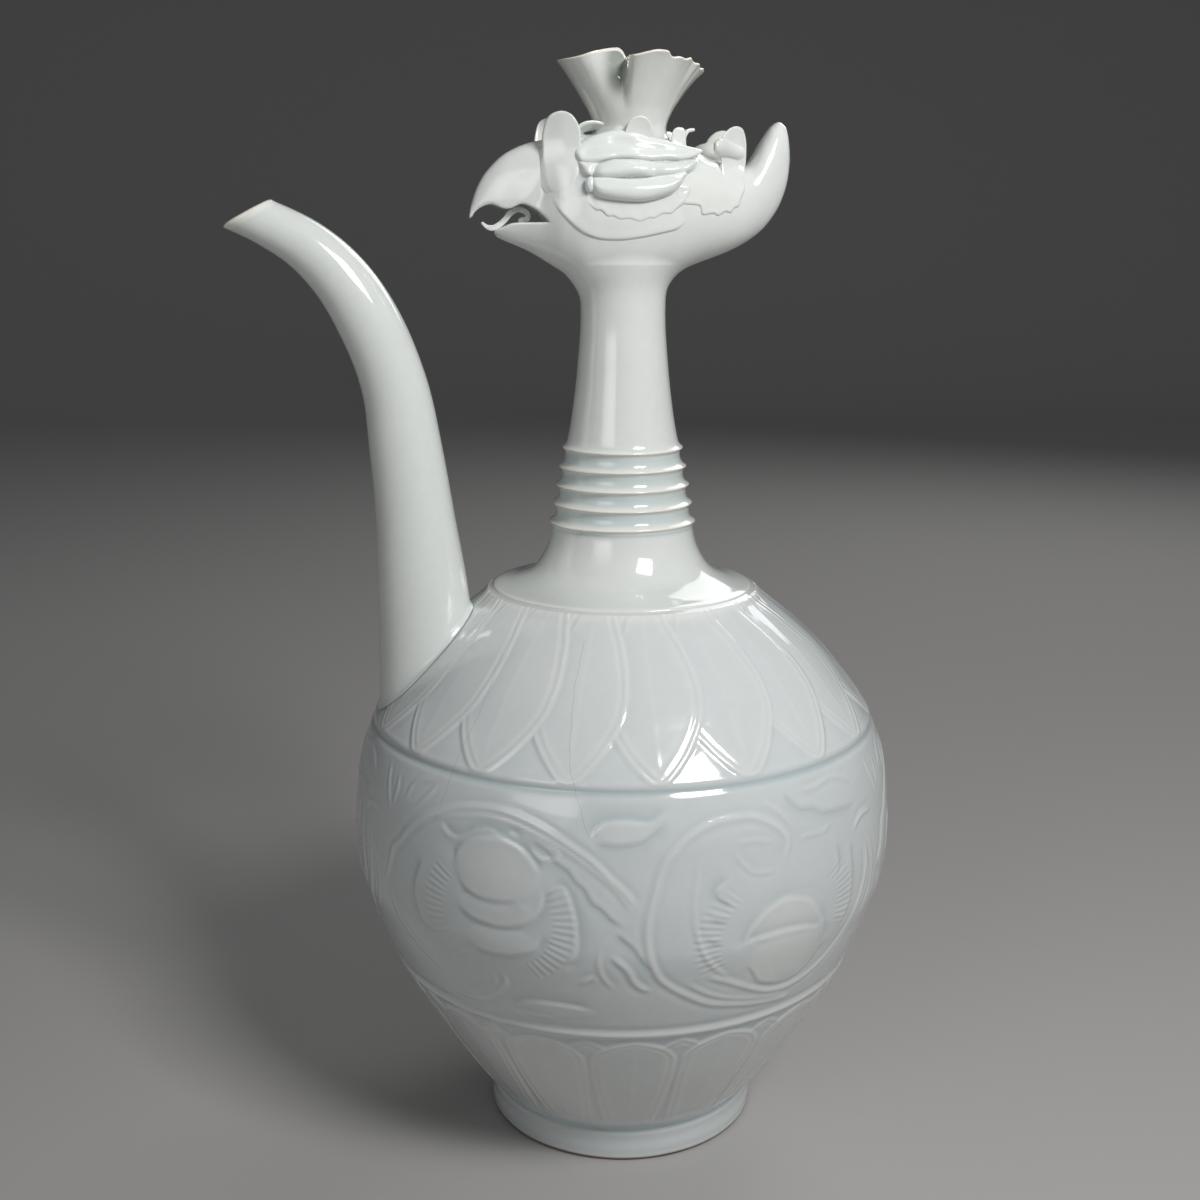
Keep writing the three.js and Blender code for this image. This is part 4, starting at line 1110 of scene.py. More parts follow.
def modelled_shape(field, low, cell, trims=(), under=None, pooled=None, thin_edges=0.3):
    """Points, faces, normals and glaze depth of a piece from its distance field, cut by the trims."""
    together = field if under is None else soft_min(field, under, 0.8)
    together = np.pad(together, 1, mode="edge")
    field = np.pad(field, 1, constant_values=cell)
    corner = np.array(low, float) - cell
    points, quads = shell_of(field, corner, cell)
    slopes = np.stack(np.gradient(field, cell), axis=-1)
    for _ in range(2):
        slope = sampled(slopes, corner, cell, points)
        off = sampled(field, corner, cell, points)
        step = off[:, None] * slope / np.maximum((slope**2).sum(axis=1), 0.2)[:, None]
        points = points - np.clip(step, -0.4 * cell, 0.4 * cell)
    trimmed = bmesh.new()
    corners = [trimmed.verts.new(point) for point in points]
    for quad in quads.tolist():
        trimmed.faces.new([corners[k] for k in quad])
    for spot, direction in trims:
        everything = trimmed.verts[:] + trimmed.edges[:] + trimmed.faces[:]
        bmesh.ops.bisect_plane(trimmed, geom=everything, plane_co=spot, plane_no=direction, clear_outer=True)
        edges = [edge for edge in trimmed.edges if edge.is_boundary]
        bmesh.ops.triangle_fill(trimmed, use_beauty=True, edges=edges, normal=direction)
    bmesh.ops.remove_doubles(trimmed, verts=trimmed.verts[:], dist=0.004)
    trimmed.verts.index_update()
    points = np.array([corner_point.co[:] for corner_point in trimmed.verts])
    faces = [[corner_point.index for corner_point in face.verts] for face in trimmed.faces]
    trimmed.free()
    normals = sampled(slopes, corner, cell, points)
    normals /= np.maximum(np.linalg.norm(normals, axis=1, keepdims=True), 1e-6)
    bend = sum(np.gradient(np.gradient(together, cell, axis=k), cell, axis=k) for k in range(3))
    for axis in (0, 1, 2, 0, 1, 2):
        bend = (np.roll(bend, 1, axis) + 2 * bend + np.roll(bend, -1, axis)) / 4
    depth = np.clip(-thin_edges * sampled(bend, corner, cell, points), -1, 0.7)
    if pooled is not None:
        depth = depth + pooled(points)
    points[:, 2] += head_seat
    return points, faces, normals, {"glaze_depth": np.clip(depth, -1, 1)}


def modelled_pair(name, shape, glaze):
    """A piece on the left of the head and its mirror image on the right."""
    points, faces, normals, values = shape
    mirror = np.array([1, -1, 1])
    turned_faces = [face[::-1] for face in faces]
    glazed_piece(name + "_left", points, faces, normals, values, glaze)
    glazed_piece(name + "_right", points * mirror, turned_faces, normals * mirror, values, glaze)


head_cell = 0.42
head_margin = 1
past_seam = 1.5
head_low = (-beak_reach - head_margin, -head_half_width - past_seam, -past_seam)
head_high = (head_length - beak_reach + head_margin, past_seam, head_height + head_margin)
x, y, z = grid_axes(head_low, head_high, head_cell)
outside = skull_field(x, y, z)
# A shallow groove parts the beak from the cheek, and a small dimple is the nostril.
cheek_place = (-27.5, 40)
cheek_lean = 0.35
nostril_place = (-35.5, 38.4)
off_cheek = (x - cheek_place[0]) - cheek_lean * (z - cheek_place[1])
outside = outside + 0.55 * bump_of(off_cheek, 2.4) * smooth_step((z - 23) / 8) * smooth_step((48 - z) / 6)
off_nostril = np.hypot(x - nostril_place[0], z - nostril_place[1])
outside = outside + 0.2 * bump_of(off_nostril, 1.4) * (y < 0)
mouth_outline = rounded_outline([(a * head_length - beak_reach, u * head_height) for a, u in mouth_shares], 5)
mouth = -outline_inset(mouth_outline, x[:, 0, :], z[0, :, :])[:, None, :] + 0 * y
hollow = head_distance(x, y, z, -head_wall)
hollow_ends = np.maximum(-beak_reach + 0.32 * head_length - x, x + beak_reach - 0.79 * head_length)
hollow = soft_max(hollow, hollow_ends + 0 * hollow, 3.0)
hollow_middle = float(head_section(np.array(0.5 * head_length - beak_reach))[1])
neck_bore_radius = float(neck_radius_at(neck_height)) - neck_wall
neck_bore = np.maximum(np.hypot(x, y) - neck_bore_radius + 0 * z, z - hollow_middle)
crown_bore = np.maximum(np.hypot(x - crown_offset, y) - crown_bore_radius + 0 * z, hollow_middle - z)
inside_space = np.minimum(np.minimum(hollow, neck_bore), crown_bore)
head_field = soft_max(soft_max(outside, -mouth, 0.7), -inside_space, 0.6)
head_glaze = glaze_material("head_glaze", (239, 235, 224), (226, 229, 225), (190, 206, 205))
head_trims = [((0, 0, 0), (0, 1, 0)), ((0, 0, 0), (0, 0, -1))]
# Outer edge of the clay that is luted on the side, where the glaze stands
luted_edge = rounded_outline([
    (-19.8, 45.6), (-16, 50.4), (-6, 53.5), (4.5, 52), (16.5, 49.4), (26, 47), (22.8, 43), (17, 37),
    (12.4, 32.2), (3.6, 29.9), (-4.9, 30), (-12.8, 31.2), (-16.8, 35),
])
flank_start = 6


def pooled_on_head(points):
    """Glaze stands round the luted feathers."""
    outside_edge = np.maximum(-outline_inset(luted_edge, points[:, 0], points[:, 2]), 0)
    return 0.55 * np.exp(-outside_edge / 1.6) * (np.abs(points[:, 1]) > flank_start)


head_shape = modelled_shape(head_field, head_low, head_cell, head_trims, pooled=pooled_on_head)
modelled_pair("head_half", head_shape, head_glaze)


# Neck: thrown in one piece with its spreading disc, five sharp ribs and a waisted tube, bored through
# and luted on top of the dome. Glaze has run off the ribs' crests and stands in the grooves.
neck_disc_edge = 1.5
first_rib_height = 24.7
rib_pitch = 6.65
rib_rise = 1.3
rib_half_width = 0.95
rib_groove = 0.5
rib_count = 5
flow_height = 9


def rib_share_at(height):
    """One at a rib's crest, falling in a hollow curve on both sides."""
    crests = [first_rib_height + rib * rib_pitch for rib in range(rib_count)]
    return np.max([(1 + ((height - crest) / rib_half_width) ** 2) ** -1.15 for crest in crests], axis=0)


neck_columns = 240
ribs_from = 20
ribs_to = 56
azimuth = np.arange(neck_columns) * 360 / neck_columns
# Heights of the rows, close together over the ribs
height = np.concatenate([
    np.linspace(neck_disc_edge, ribs_from, 70)[1:],
    np.linspace(ribs_from, ribs_to, 170)[1:],
    np.linspace(ribs_to, neck_height, 60)[1:],
])
rib_share = rib_share_at(height)
under_ribs = first_rib_height - 2.2
over_ribs = first_rib_height + 27.5
step_under = 0.28 * smooth_step((height - under_ribs) / 0.8) * smooth_step((over_ribs + 2.5 - height) / 8)
grooved = smooth_step((height - under_ribs) / 2) * smooth_step((over_ribs - height) / 2)
outside = neck_radius_at(height) + rib_rise * rib_share - rib_groove * (1 - rib_share) * grooved + step_under
outside = np.minimum(outside, neck_disc_radius - 1.2)
disc = [
    (neck_disc_radius - 0.3, 0), (neck_disc_radius, 0.4), (neck_disc_radius, 1.0),
    (neck_disc_radius - 0.25, 1.42), (neck_disc_radius - 0.9, 1.58),
]
bore_heights = np.linspace(neck_height, neck_disc_edge + neck_wall, 24)
bore_line = [(min(float(neck_radius_at(h)) - neck_wall, throat_radius), h) for h in bore_heights]
neck_profile = disc + list(zip(outside, height)) + bore_line + [(throat_radius, 0)]
rings = turned_rings(azimuth, [(r, body_height + h) for r, h in neck_profile])
# The ribs run a little out of level, as they came off the wheel.
drift = 0.12 * np.sin(azimuth * DEGREE * 2 + 1)[None, :] * np.sin(rings[:, :1, 2] * 0.4)
among_ribs = (rings[:, :, 2] > body_height + ribs_from) & (rings[:, :, 2] < body_height + ribs_to + 4)
rings[:, :, 2] += drift * among_ribs
in_ribs = smooth_step((height - under_ribs + 1.5) / 2) * smooth_step((over_ribs + 2 - height) / 3)
shade = in_ribs * (0.5 - 1.6 * rib_share**1.5) + 0.25 * bump_of(height - 3, 4)
pool = np.zeros(rings.shape[:2])
pool[: len(disc)] = -0.4
pool[len(disc) : len(disc) + len(height)] = shade[:, None]
neck_glaze = glaze_material("neck_glaze", (240, 236, 229), (226, 229, 225), (190, 206, 205))
# The last millimetres flow out into the skull, whose foot has its own radius on every side.
seat_step = 0.05
seat_places = np.arange(-1, 9, seat_step)[None, :, None]
turn = azimuth[None, None, :] * DEGREE
flow = height[height > neck_height - flow_height][:, None, None] - neck_height
places = neck_radius_at(neck_height + flow) + seat_places
inside = skull_field(places * np.cos(turn), places * np.sin(turn), flow + 0 * places) < 0
seat_radius = places[:, 0] + (inside.sum(axis=1) - 0.5) * seat_step
last_row = len(disc) + len(height)
rows = slice(last_row - len(flow), last_row)
rings[rows, :, 0] = seat_radius * np.cos(turn[0])
rings[rows, :, 1] = seat_radius * np.sin(turn[0])
for _ in range(3):
    middle = rings[rows, :, :2]
    rings[rows, :, :2] = (middle * 2 + np.roll(middle, 1, axis=1) + np.roll(middle, -1, axis=1)) / 4
# The normals of the last row are the skull's own, so that no edge shows where the head is luted on.
all_normals = grid_normals(rings, True)
beside = 0.3
seat = np.stack([rings[last_row - 1, :, 0], rings[last_row - 1, :, 1], np.full(neck_columns, 0.1)])
seat_normals = np.stack([
    skull_field(*(seat + shift[:, None])) - skull_field(*(seat - shift[:, None]))
    for shift in beside * np.eye(3)
], axis=-1)
all_normals[last_row - 1] = seat_normals / np.linalg.norm(seat_normals, axis=-1, keepdims=True)
glazed_piece(
    "neck", rings, grid_faces(len(rings), neck_columns, True), all_normals,
    {"glaze_depth": pool}, neck_glaze,
)


# Crown cup: a thrown trumpet, the filling mouth, seated on the skull and pinched into a ruffled rim.
# One deep crease faces the left front; the thin rim lets the body show cream through the glaze.
crown_base_radius = 11.8
crown_rim_radius = 25.6
crown_rise = 24.6
crown_wall = 2
crown_sink = 9
fold_start_share = 0.35
crown_flare_shares = [(0, 0), (0.3, 0.03), (0.46, 0.17), (0.6, 0.36), (0.78, 0.63), (0.94, 0.89), (1, 1)]
# How deep the rim draws in round the cup, as shares of its radius, and how high it lifts, in millimetres.
# One gentle slope ends in a steep wall at the crease, and small ruffles follow it.
crown_draw_shares = [
    (0, 0.01), (28, 0.14), (50, 0.03), (76, 0.26), (100, 0.05), (122, 0.12), (150, 0), (180, 0), (205, -0.02),
    (213, 0.01), (222, 0.1), (230, 0.26), (238, 0.44), (244, 0.57), (249, 0.62), (253, 0.48), (257, 0.2),
    (262, 0.03), (277, -0.035), (300, -0.005), (330, 0.015), (360, 0.01),
]
ruffle_shares = [
    (0, 0), (274, 0), (286, -0.012), (294, 0.035), (301, -0.006), (307, 0.016), (312, -0.008), (320, 0.03),
    (327, -0.008), (336, 0.018), (343, -0.006), (352, 0.01), (360, 0),
]
crown_lifts = [
    (0, -3.5), (20, -1.5), (45, 0.3), (76, -2.4), (100, 0.2), (122, 0.5), (150, 0), (180, -1), (205, -1.6),
    (215, -1.2), (226, 0.4), (234, 1.5), (240, 1.9), (244, 1.2), (248, -0.3), (254, -1.5), (262, -1.7),
    (271, -0.9), (280, -0.1), (288, -0.3), (294, -2.0), (299, -1.8), (306, -2.3), (312, -1.7), (318, -2.1),
    (324, -2.9), (330, -2.9), (336, -4.0), (343, -3.8), (351, -4.6), (360, -3.5),
]
crown_columns = 480
angle = np.arange(crown_columns) * 2 * math.pi / crown_columns
skull_top = float(values_along(head_top_shares, (beak_reach + crown_offset) / head_length)) * head_height
crown_base = skull_top - crown_sink


def crown_ring(share, growth):
    """One ring of the crown cup at a share of its height, grown sideways."""
    flare = float(values_along(crown_flare_shares, share))
    drawn = max(share - fold_start_share, 0) / (1 - fold_start_share)
    turn = angle / DEGREE
    inward = values_along(crown_draw_shares, turn) * drawn**1.9
    ripple = 0.007 * np.sin(9 * angle + 0.6) + 0.004 * np.sin(17 * angle + 2)
    inward = inward + (values_along(ruffle_shares, turn) + ripple) * drawn**3.5
    radius = crown_base_radius + (crown_rim_radius - crown_base_radius) * flare
    out = radius * (1 - inward) + growth
    level = crown_base + (crown_rise + crown_sink) * share + values_along(crown_lifts, turn) * drawn**2
    return np.stack([crown_offset + out * np.cos(angle), out * np.sin(angle), level], axis=-1)


crown_start = 0.12
crown_end = 0.985
# Middle and half width, in degrees, of the crease band, where pooled glaze and painted shade darken the cup
crease_place = 242
crease_half_width = 11
outer = np.array([crown_ring(share, 0) for share in np.linspace(crown_start, crown_end, 110)])
off_skull = head_distance(outer[..., 0], outer[..., 1], outer[..., 2])
luting = 1.5 * np.exp(-np.maximum(off_skull, 0) / 1.7)
outer[..., 0] += luting * np.cos(angle)
outer[..., 1] += luting * np.sin(angle)
inner_shares = np.linspace(crown_end, crown_start, 70)
inner = np.array([crown_ring(share, -crown_wall + 0.9 * share) for share in inner_shares])
rim_rows = []
for turn in np.linspace(0, math.pi, 8)[1:-1]:
    across = (1 - math.cos(turn)) / 2
    row = outer[-1] + (inner[0] - outer[-1]) * across
    row[:, 2] += 0.55 * math.sin(turn)
    rim_rows.append(row)
rings = np.concatenate([outer, rim_rows, inner])
# Glaze stands in the crease and round the foot, and runs thin on the rim. The crease band and the foot also
# take this glaze's dark grey pooled colour, which is painted shade on top of the real pooling.
up_cup = smooth_step((np.linspace(0, 1, len(outer)) - 0.4) / 0.35)[:, None]
crease_pool_and_shade = bump_of(angle / DEGREE - crease_place, crease_half_width)[None, :] * up_cup
pool = np.zeros(rings.shape[:2])
pool[: len(outer)] = 0.5 * np.exp(-np.maximum(off_skull, 0) / 2) + 0.05 + crease_pool_and_shade
pool[len(outer) - 2 : len(outer) + len(rim_rows) + 2] = -0.9
rings[..., 2] += head_seat
# The pooled colour is a dark grey-olive: painted shade for the deep crease and for the foot on the skull, on
# top of the real pooling.
crown_glaze = glaze_material("crown_glaze", (244, 240, 228), (231, 233, 228), (154, 161, 152))
glazed_piece(
    "crown_cup", rings, grid_faces(len(rings), crown_columns, True), grid_normals(rings, True),
    {"glaze_depth": pool}, crown_glaze,
)


# Tongue: a thin strip of clay that curls up off the tip of the lower beak and loops in the open mouth.
# It is luted in before the glaze and stands nearly white.
tongue_width = 4
tongue_thickness = 2.0
tongue_shares = [
    (0.044, 0.397), (0.057, 0.376), (0.074, 0.37), (0.097, 0.394), (0.114, 0.426), (0.128, 0.458),
    (0.153, 0.479), (0.177, 0.457), (0.179, 0.425), (0.16, 0.414),
]
tongue_width_shares = [(0, 0.3), (0.15, 0.8), (0.5, 1), (1, 0.9)]


def off_stretch(start, end, x, z):
    """Distance of places from a straight stretch, and which share along it lies nearest."""
    run = end - start
    share = np.clip(((x - start[0]) * run[0] + (z - start[1]) * run[1]) / (run @ run), 0, 1)
    return np.hypot(x - start[0] - share * run[0], z - start[1] - share * run[1]), share


def off_route(route, x, z):
    """Distance of places from a route seen from the side, and which share along it lies nearest."""
    distance = np.full(np.broadcast(x, z).shape, 99.0)
    along = np.zeros(distance.shape)
    for k in range(len(route) - 1):
        gap, share = off_stretch(route[k], route[k + 1], x, z)
        along = np.where(gap < distance, (k + share) / (len(route) - 1), along)
        distance = np.minimum(gap, distance)
    return distance, along


tongue_cell = 0.2
route = smooth_route([(a * head_length - beak_reach, u * head_height) for a, u in tongue_shares], 90)
tongue_low = (route[:, 0].min() - 1.5, -tongue_width / 2 - 1, route[:, 1].min() - 1.5)
tongue_high = (route[:, 0].max() + 1.5, tongue_width / 2 + 1, route[:, 1].max() + 1.5)
x, y, z = grid_axes(tongue_low, tongue_high, tongue_cell)
distance, along = off_route(route, x, z)
half_thick = tongue_thickness / 2 * (0.55 + 0.45 * smooth_step(along / 0.15))
half_wide = tongue_width / 2 * values_along(tongue_width_shares, along)
tongue_field = soft_max(distance - half_thick, np.abs(y) - half_wide, 0.6)
applied_glaze = glaze_material("applied_glaze", (239, 239, 233), (228, 232, 228), (188, 204, 203))
points, faces, normals, values = modelled_shape(tongue_field, tongue_low, tongue_cell, thin_edges=0.15)
glazed_piece("tongue", points, faces, normals, values, applied_glaze)


# Ear feathers: three long cupped lobes of clay on each side of the skull, pressed on one over another.
# The upper one has thick rolled rims round a hollow, the two below are plump rolls.
applied_cell = 0.27
feather_sink = 0.4
upper_feather = [
    (-19.5, 45.8), (-18.3, 48.1), (-14.9, 50.6), (-10.7, 52.2), (-5.7, 53.3), (-0.6, 52.9), (4.5, 51.6),
    (10.5, 50.5), (16.5, 49.0), (21.6, 48.1), (25.5, 47.0), (21.7, 44.8), (16.5, 43.7), (12.2, 43.9),
    (6.3, 43.4), (2.8, 43.5), (-0.6, 43.9), (-4.8, 44.0), (-9.0, 43.4), (-12.4, 42.6), (-15.8, 42.3),
    (-18.3, 43.0),
]
middle_feather = [
    (-14.0, 39.0), (-12.8, 41.6), (-9.2, 43.2), (-5.8, 43.9), (2.6, 43.9), (6.0, 43.3), (11.2, 43.1),
    (16.3, 43.5), (22.5, 44.4), (21.9, 41.6), (18.9, 39.3), (14.6, 38.0), (7.8, 37.5), (-0.7, 37.7),
    (-9.2, 36.9), (-12.6, 37.4),
]
front_lobe = [
    (-18.6, 42.8), (-17.7, 39.8), (-16.3, 38.0), (-14.2, 38.0), (-13.3, 40.4), (-12.3, 42.4), (-15.6, 43.0),
]
lower_feather = [
    (-15.1, 34.4), (-13.8, 36.6), (-9.2, 37.0), (-0.7, 36.8), (7.8, 37.6), (16.4, 38.6), (16.9, 37.0),
    (15.9, 35.0), (12.1, 32.0), (3.6, 29.7), (-4.9, 29.8), (-12.6, 31.2),
]
lower_roll = [(-13.4, 36.4), (-9.2, 36.3), (-0.7, 35.9), (7.8, 36.9), (12.9, 37.9), (16.8, 38.9)]


def applied_grid(outline, nearest_side=-3.0):
    """Sample places round an outline on the left side of the head, with the distance off the skull there."""
    low = (outline[:, 0].min() - 1.6, -head_half_width - 5, outline[:, 1].min() - 1.6)
    high = (outline[:, 0].max() + 1.6, nearest_side, outline[:, 1].max() + 1.6)
    x, y, z = grid_axes(low, high, applied_cell)
    return low, x, y, z, skull_field(x, y, z)


def inset_of(outline, x, z):
    """How far the places of a grid lie inside an outline seen from the side."""
    return outline_inset(outline, x[:, 0, :], z[0, :, :])[:, None, :]


def pillow(inset, width, height):
    """Thickness of a plump roll at a distance inside its outline."""
    return height * np.sqrt(np.clip(1 - (1 - np.clip(inset / width, 0, 1)) ** 2, 0, 1))


def laid_on(inset, thickness, off_skull, edge=0.5):
    """Field of clay laid on the skull within an outline."""
    return soft_max(off_skull - thickness, -inset, edge)


def luted_pair(name, piece, low, off_skull, reach=1.4, hidden=0.15, thin_edges=0.12, glaze=applied_glaze):
    """Pieces on both sides that run out into the skull in a soft fillet and end just under its skin."""
    joined = np.maximum(soft_min(piece, off_skull + hidden, reach), piece - reach)
    joined = soft_max(joined, -off_skull - hidden - feather_sink, 0.3)
    shape = modelled_shape(joined, low, applied_cell, under=off_skull, thin_edges=thin_edges)
    modelled_pair(name, shape, glaze)


def side_of_head(x, z):
    """How far the skull reaches to the side at a place on it."""
    width, middle, half = head_section(np.array(float(x)))
    rise = min(abs(z - float(middle)) / float(half), 1)
    return float(width) * (1 - rise**head_roundness) ** (1 / head_roundness)


def sides_of_head(x, z):
    """The same for all places of a grid along the head, at one height."""
    return np.array([side_of_head(place, z) for place in x.ravel()])[:, None, None]


# The upper feather stands on its lower edge and leans in less than the skull does.
feather_foot = 43.0
feather_lean = 0.45
rim_inset = 1.6
outline = rounded_outline(upper_feather)
low, x, y, z, off_skull = applied_grid(outline)
inset = inset_of(outline, x, z)
lower_edge = smooth_step((47.5 - z) / 3)
rim = (0.6 + 0.8 * lower_edge) * bump_of(inset - rim_inset, rim_inset + 0.4 * lower_edge)
side = sides_of_head(x, feather_foot)
face = -side - 1.3 + feather_lean * (z - feather_foot) - rim - 0.15 * np.sin(0.55 * x + 1)
back = -side + 1.7 + (feather_lean - 0.1) * (z - feather_foot)
upper_field = soft_max(soft_max(face - y, y - back, 1.0), -inset + 0 * y, 1.4)
luted_pair("ear_feather_upper", upper_field, low, off_skull)

# The middle one is a long roll, drawn in at its waist, with a small lobe at its front.
outline = rounded_outline(middle_feather)
lobe_outline = rounded_outline(front_lobe)
low, x, y, z, off_skull = applied_grid(np.concatenate([outline, lobe_outline]))
inset = inset_of(outline, x, z)
waist = 1 - 0.2 * bump_of(x - 6.5, 2.2) - 0.12 * bump_of(x - 17, 1.6)
main_lobe = laid_on(inset, pillow(inset, 3.0, 3.6) * waist, off_skull)
inset = inset_of(lobe_outline, x, z)
small_lobe = laid_on(inset, pillow(inset, 2.4, 2.4), off_skull)
luted_pair("ear_feather_middle", soft_min(main_lobe, small_lobe, 1.2), low, off_skull)

# The lowest one is shaped like a bean, with a thin roll along its upper edge.
outline = rounded_outline(lower_feather)
low, x, y, z, off_skull = applied_grid(outline)
inset = inset_of(outline, x, z)
bean = laid_on(inset, pillow(inset, 3.4, 3.7), off_skull)
roll = np.hypot(off_route(smooth_route(lower_roll, 60), x, z)[0], off_skull - 1.7) - 1.25
luted_pair("ear_feather_lower", soft_min(bean, roll, 1.4), low, off_skull)


# Ear bead: a small pellet of clay, rolled between the fingers and pressed on with slip at the front end of
# the lowest feather.
bead_place = (-14.9, 35.2)
bead_width = 3.8
bead_height = 5.4
bead_margin = 3.2
bead_cell = 0.2
bead_side = -side_of_head(*bead_place) - bead_width / 4
low = (bead_place[0] - bead_margin, bead_side - bead_margin, bead_place[1] - 4)
high = (bead_place[0] + bead_margin, bead_side + bead_margin, bead_place[1] + 4)
x, y, z = grid_axes(low, high, bead_cell)
stretched = (z - bead_place[1]) * bead_width / bead_height
bead_field = np.sqrt((x - bead_place[0]) ** 2 + (y - bead_side) ** 2 + stretched**2) - bead_width / 2
bead_shape = modelled_shape(bead_field, low, bead_cell, thin_edges=0.2)
modelled_pair("ear_bead", bead_shape, applied_glaze)


# Slip patches: the ruff under the feathers, the collar round the cheek and the patch on the nape, brushed and
# pressed on in thin layers with scalloped edges.
ruff_shares = [
    (0.318, 0.548), (0.354, 0.47), (0.375, 0.462), (0.393, 0.43), (0.412, 0.43), (0.429, 0.412),
    (0.46, 0.415), (0.49, 0.4), (0.52, 0.42), (0.535, 0.418), (0.56, 0.445), (0.585, 0.447), (0.605, 0.48),
    (0.635, 0.535), (0.62, 0.62), (0.33, 0.62),
]
collar_shares = [
    (0.238, 0.59), (0.237, 0.535), (0.255, 0.466), (0.285, 0.4), (0.324, 0.338), (0.369, 0.305),
    (0.43, 0.297), (0.49, 0.31), (0.55, 0.333), (0.612, 0.367), (0.642, 0.447), (0.6, 0.535),
    (0.318, 0.548), (0.27, 0.62),
]
nape_patch_shares = [
    (0.6, 0.563), (0.617, 0.51), (0.65, 0.502), (0.676, 0.492), (0.684, 0.445), (0.72, 0.452), (0.735, 0.44),
    (0.76, 0.463), (0.778, 0.458), (0.79, 0.485), (0.805, 0.497), (0.812, 0.54), (0.827, 0.6), (0.826, 0.65),
    (0.822, 0.69), (0.75, 0.7), (0.66, 0.69), (0.61, 0.64),
]
# Thickness of each layer, height and width of the lip along its edge, softness of the edge, where the layer
# thins out upwards, and between which places along the head it lies
patches = {
    "ear_ruff": (ruff_shares, 0.6, 0.08, 1.0, 0.9, 33, -12, 18),
    "cheek_collar": (collar_shares, 0.7, 0.05, 1.6, 1.0, 21, -26, 13),
    "nape_patch": (nape_patch_shares, 0.45, 0.1, 0.9, 0.7, 31, 12, 50),
}
for name, (shares, base, lip, lip_width, edge, thin_from, first, last) in patches.items():
    spots = [(a * head_length - beak_reach, u * head_height) for a, u in shares]
    outline = rounded_outline(spots, 5)
    low, x, y, z, off_skull = applied_grid(outline)
    inset = inset_of(outline, x, z)
    thickness = base + lip * bump_of(inset - lip_width, lip_width) - 0.4 * base * smooth_step(inset / 4)
    faded = smooth_step((z - thin_from) / 15) + smooth_step((first - x) / 6) + smooth_step((x - last) / 8)
    thickness = thickness - (thickness + 0.45) * np.minimum(faded, 1)
    luted_pair(name, laid_on(inset, thickness, off_skull, edge), low, off_skull, 0.9, 0.3, 0.25, head_glaze)


# Upright leaves: the round brow leaf, the petal at the foot of the crown cup, the tab behind it and the
# rolled leaf on the nape. Each is a pinched flake of clay, luted upright with a little slip round its root.
leaf_thickness = 1.6
# Outline and root, how far the root stands off the skull, the height over which the leaf bends, how far it
# leans out and curls, how closely it follows the skull, the slip at its root, the reach of its fillet, and
# the height where the clay pressed down under it begins
upright_leaves = {
    "brow_leaf": (
        [(-29.7, 45.6), (-29.9, 50.5), (-29.2, 54.5), (-28.1, 57.2), (-26.2, 58.7), (-23.3, 59.2),
         (-20.4, 58.0), (-18.3, 55.3), (-17.3, 52.1), (-17.4, 47.3), (-18.6, 40), (-22.0, 34), (-26.6, 33),
         (-29.4, 38)],
        (-23.9, 45.6), 0.2, 13, 1.6, 0.3, 0.85, 0.5, 1.6, 33,
    ),
    "crown_petal": (
        [(-2.3, 51.6), (-1.9, 54), (-1.1, 56), (0.6, 57.5), (3.2, 57.9), (5.7, 56.8), (7.3, 54), (7.5, 51.6),
         (5, 49.2), (0, 49.2)],
        (1.75, 50.2), 2.24, 8.6, 2.4, 0.7, 0, 0.8, 1.8, 0,
    ),
    "nape_tab": (
        [(14.8, 49), (15.0, 52.3), (15.8, 54.2), (17.6, 54.9), (19.4, 54.2), (19.9, 51.6), (19.6, 49),
         (17.2, 47.6)],
        (16.1, 49.2), 0, 7, 0, 0.1, 0, 0.5, 1.2, 0,
    ),
    "nape_leaf": (
        [(31.9, 44.2), (31.4, 48.2), (32.4, 51.8), (34.6, 54.4), (37.4, 55.4), (40.0, 54.6), (41.3, 51.5),
         (41.7, 47.2), (41.4, 42.1), (39.4, 37.6), (36.4, 36.4), (33.4, 38.2)],
        (37.3, 41), 0.2, 13.5, 1.6, 1.2, 0.7, 0.5, 1.6, 35,
    ),
}
nape_roll = [(30.4, 48.0), (32.6, 48.0), (35.6, 47.5), (39.2, 46.4)]
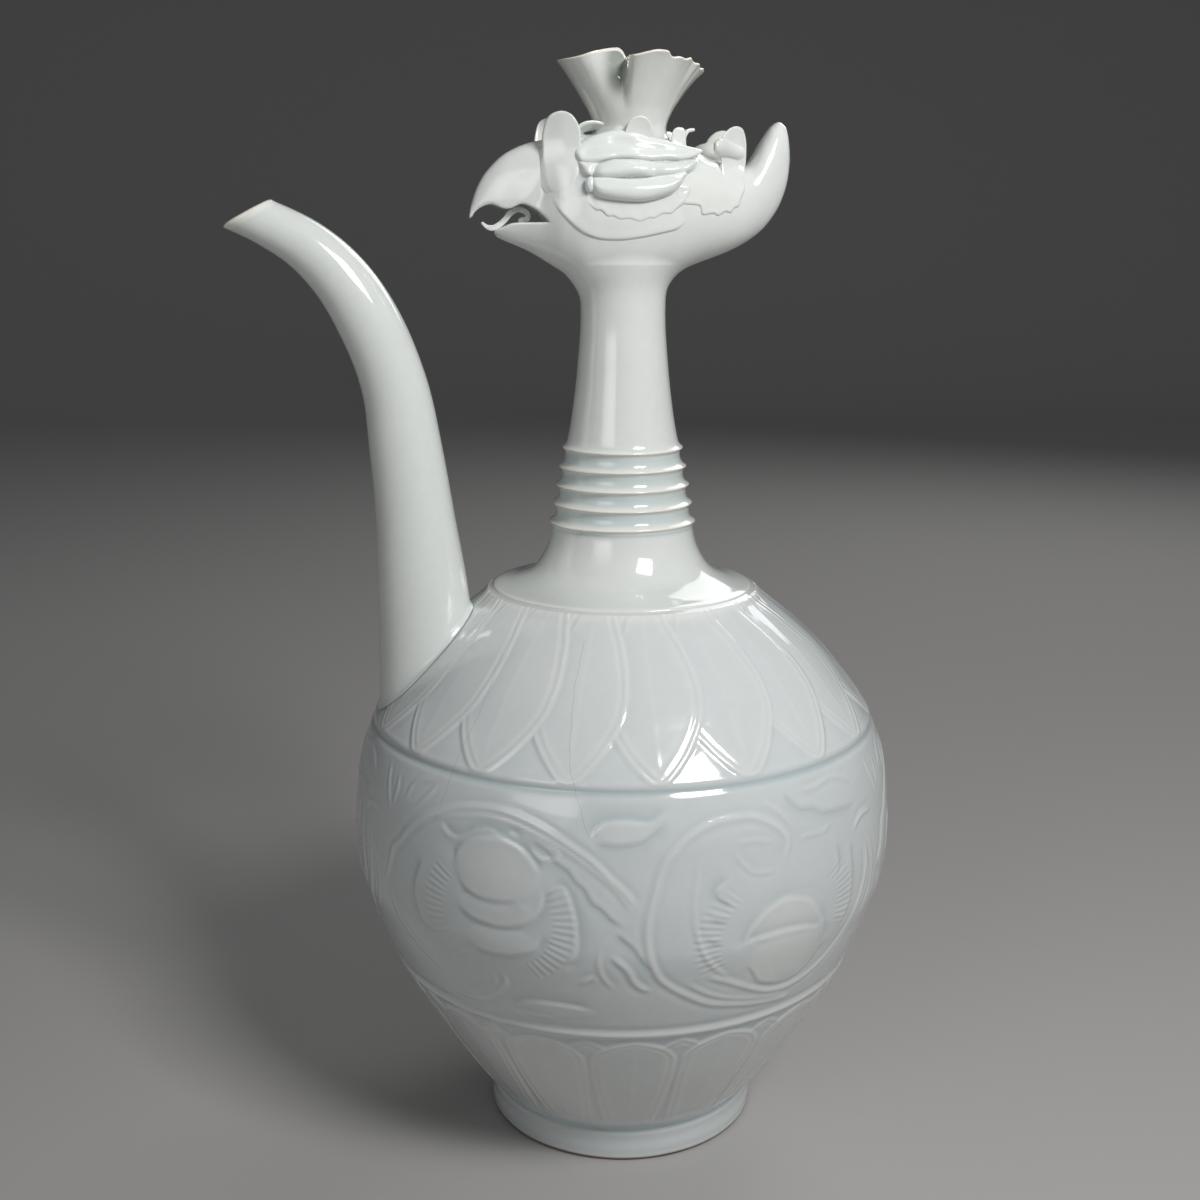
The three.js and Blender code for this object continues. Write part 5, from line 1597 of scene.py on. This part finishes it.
for name, leaf_sizes in upright_leaves.items():
    spots, root, stand_off, tall, lean_out, curl, follow, slip, reach, pad_foot = leaf_sizes
    outline = rounded_outline(spots)
    grown = np.concatenate([outline, np.array(nape_roll)]) if name == "nape_leaf" else outline
    low, x, y, z, off_skull = applied_grid(grown, 0.5)
    inset = inset_of(outline, x, z)
    rise = np.clip((z - root[1]) / tall, -0.3, 1.2)
    half = (outline[:, 0].max() - outline[:, 0].min()) / 2
    lateral = (x - outline[:, 0].mean()) / half
    root_side = side_of_head(*root)
    side = root_side + (sides_of_head(x, root[1]) - root_side) * follow
    dive = follow * 1.2 * smooth_step((root[1] + 1 - z) / 7)
    middle = -side - stand_off - lean_out * rise * np.abs(rise) - curl * lateral**2 + dive
    root_slip = slip * np.exp(-np.maximum(off_skull, 0) / 1.4)
    thick = leaf_thickness / 2 * (1 - 0.25 * np.clip(rise, 0, 1)) + root_slip
    leaf = soft_max(np.abs(y - middle) - thick, -inset, 0.9)
    if pad_foot:
        swelling = smooth_step((z - pad_foot) / (root[1] + 2 - pad_foot)) * smooth_step((root[1] + 5 - z) / 4)
        pad = soft_max(off_skull - 1.3 * swelling + 0.45, -inset, 1.2)
        leaf = soft_min(leaf, pad, 1.5)
    if name == "nape_leaf":
        roll_line = smooth_route(nape_roll, 40)
        roll_radius = 1.7 - 0.9 * smooth_step((x - 30.5) / 9)
        for start, end in zip(roll_line[:-1], roll_line[1:]):
            gap = off_stretch(start, end, x, z)[0]
            leaf = soft_min(leaf, np.hypot(gap, y - middle + 0.2) - roll_radius, 1.8)
    luted_pair(name, leaf, low, off_skull, reach, 0.3, 0.15, head_glaze)


# Bent strips: the arched leaf behind the brow and the thin curl on the nape. Each is a strip of clay, rolled
# thin, bent over and luted on by one end.
# Route, half the width and the thickness, root, how deep the middle lies under the skull's side, and tilt
bent_strips = {
    "brow_rear_leaf": (
        [(-17.0, 49.6), (-17.6, 52.4), (-15.6, 54.4), (-11.4, 55.4), (-8.0, 54.8), (-6.4, 53.6)],
        3.5, 0.75, (-18.6, 51.1), 1.6, 0.35,
    ),
    "nape_curl": (
        [(20.4, 47.8), (20.7, 50.0), (21.1, 52.4), (22.4, 54.2), (24.3, 54.6)],
        1.5, 0.85, (19.9, 50.4), 1.6, 0,
    ),
}
for name, (spots, half_wide, half_thick, root, sunk, tilt) in bent_strips.items():
    route = smooth_route(spots, 60)
    low, x, y, z, off_skull = applied_grid(route, 3.5)
    middle = -side_of_head(*root) + sunk
    distance, along = off_route(route, x, z + tilt * (y - middle))
    narrowed = half_wide * (1 - 0.45 * along**2)
    root_slip = 0.5 * np.exp(-np.maximum(off_skull, 0) / 0.9)
    thinned = half_thick * (1 - 0.3 * along) + root_slip
    strip = soft_max(distance - thinned, np.abs(y - middle) - narrowed, 0.7)
    luted_pair(name, strip, low, off_skull, 1.2, 0.15, 0.15, head_glaze)
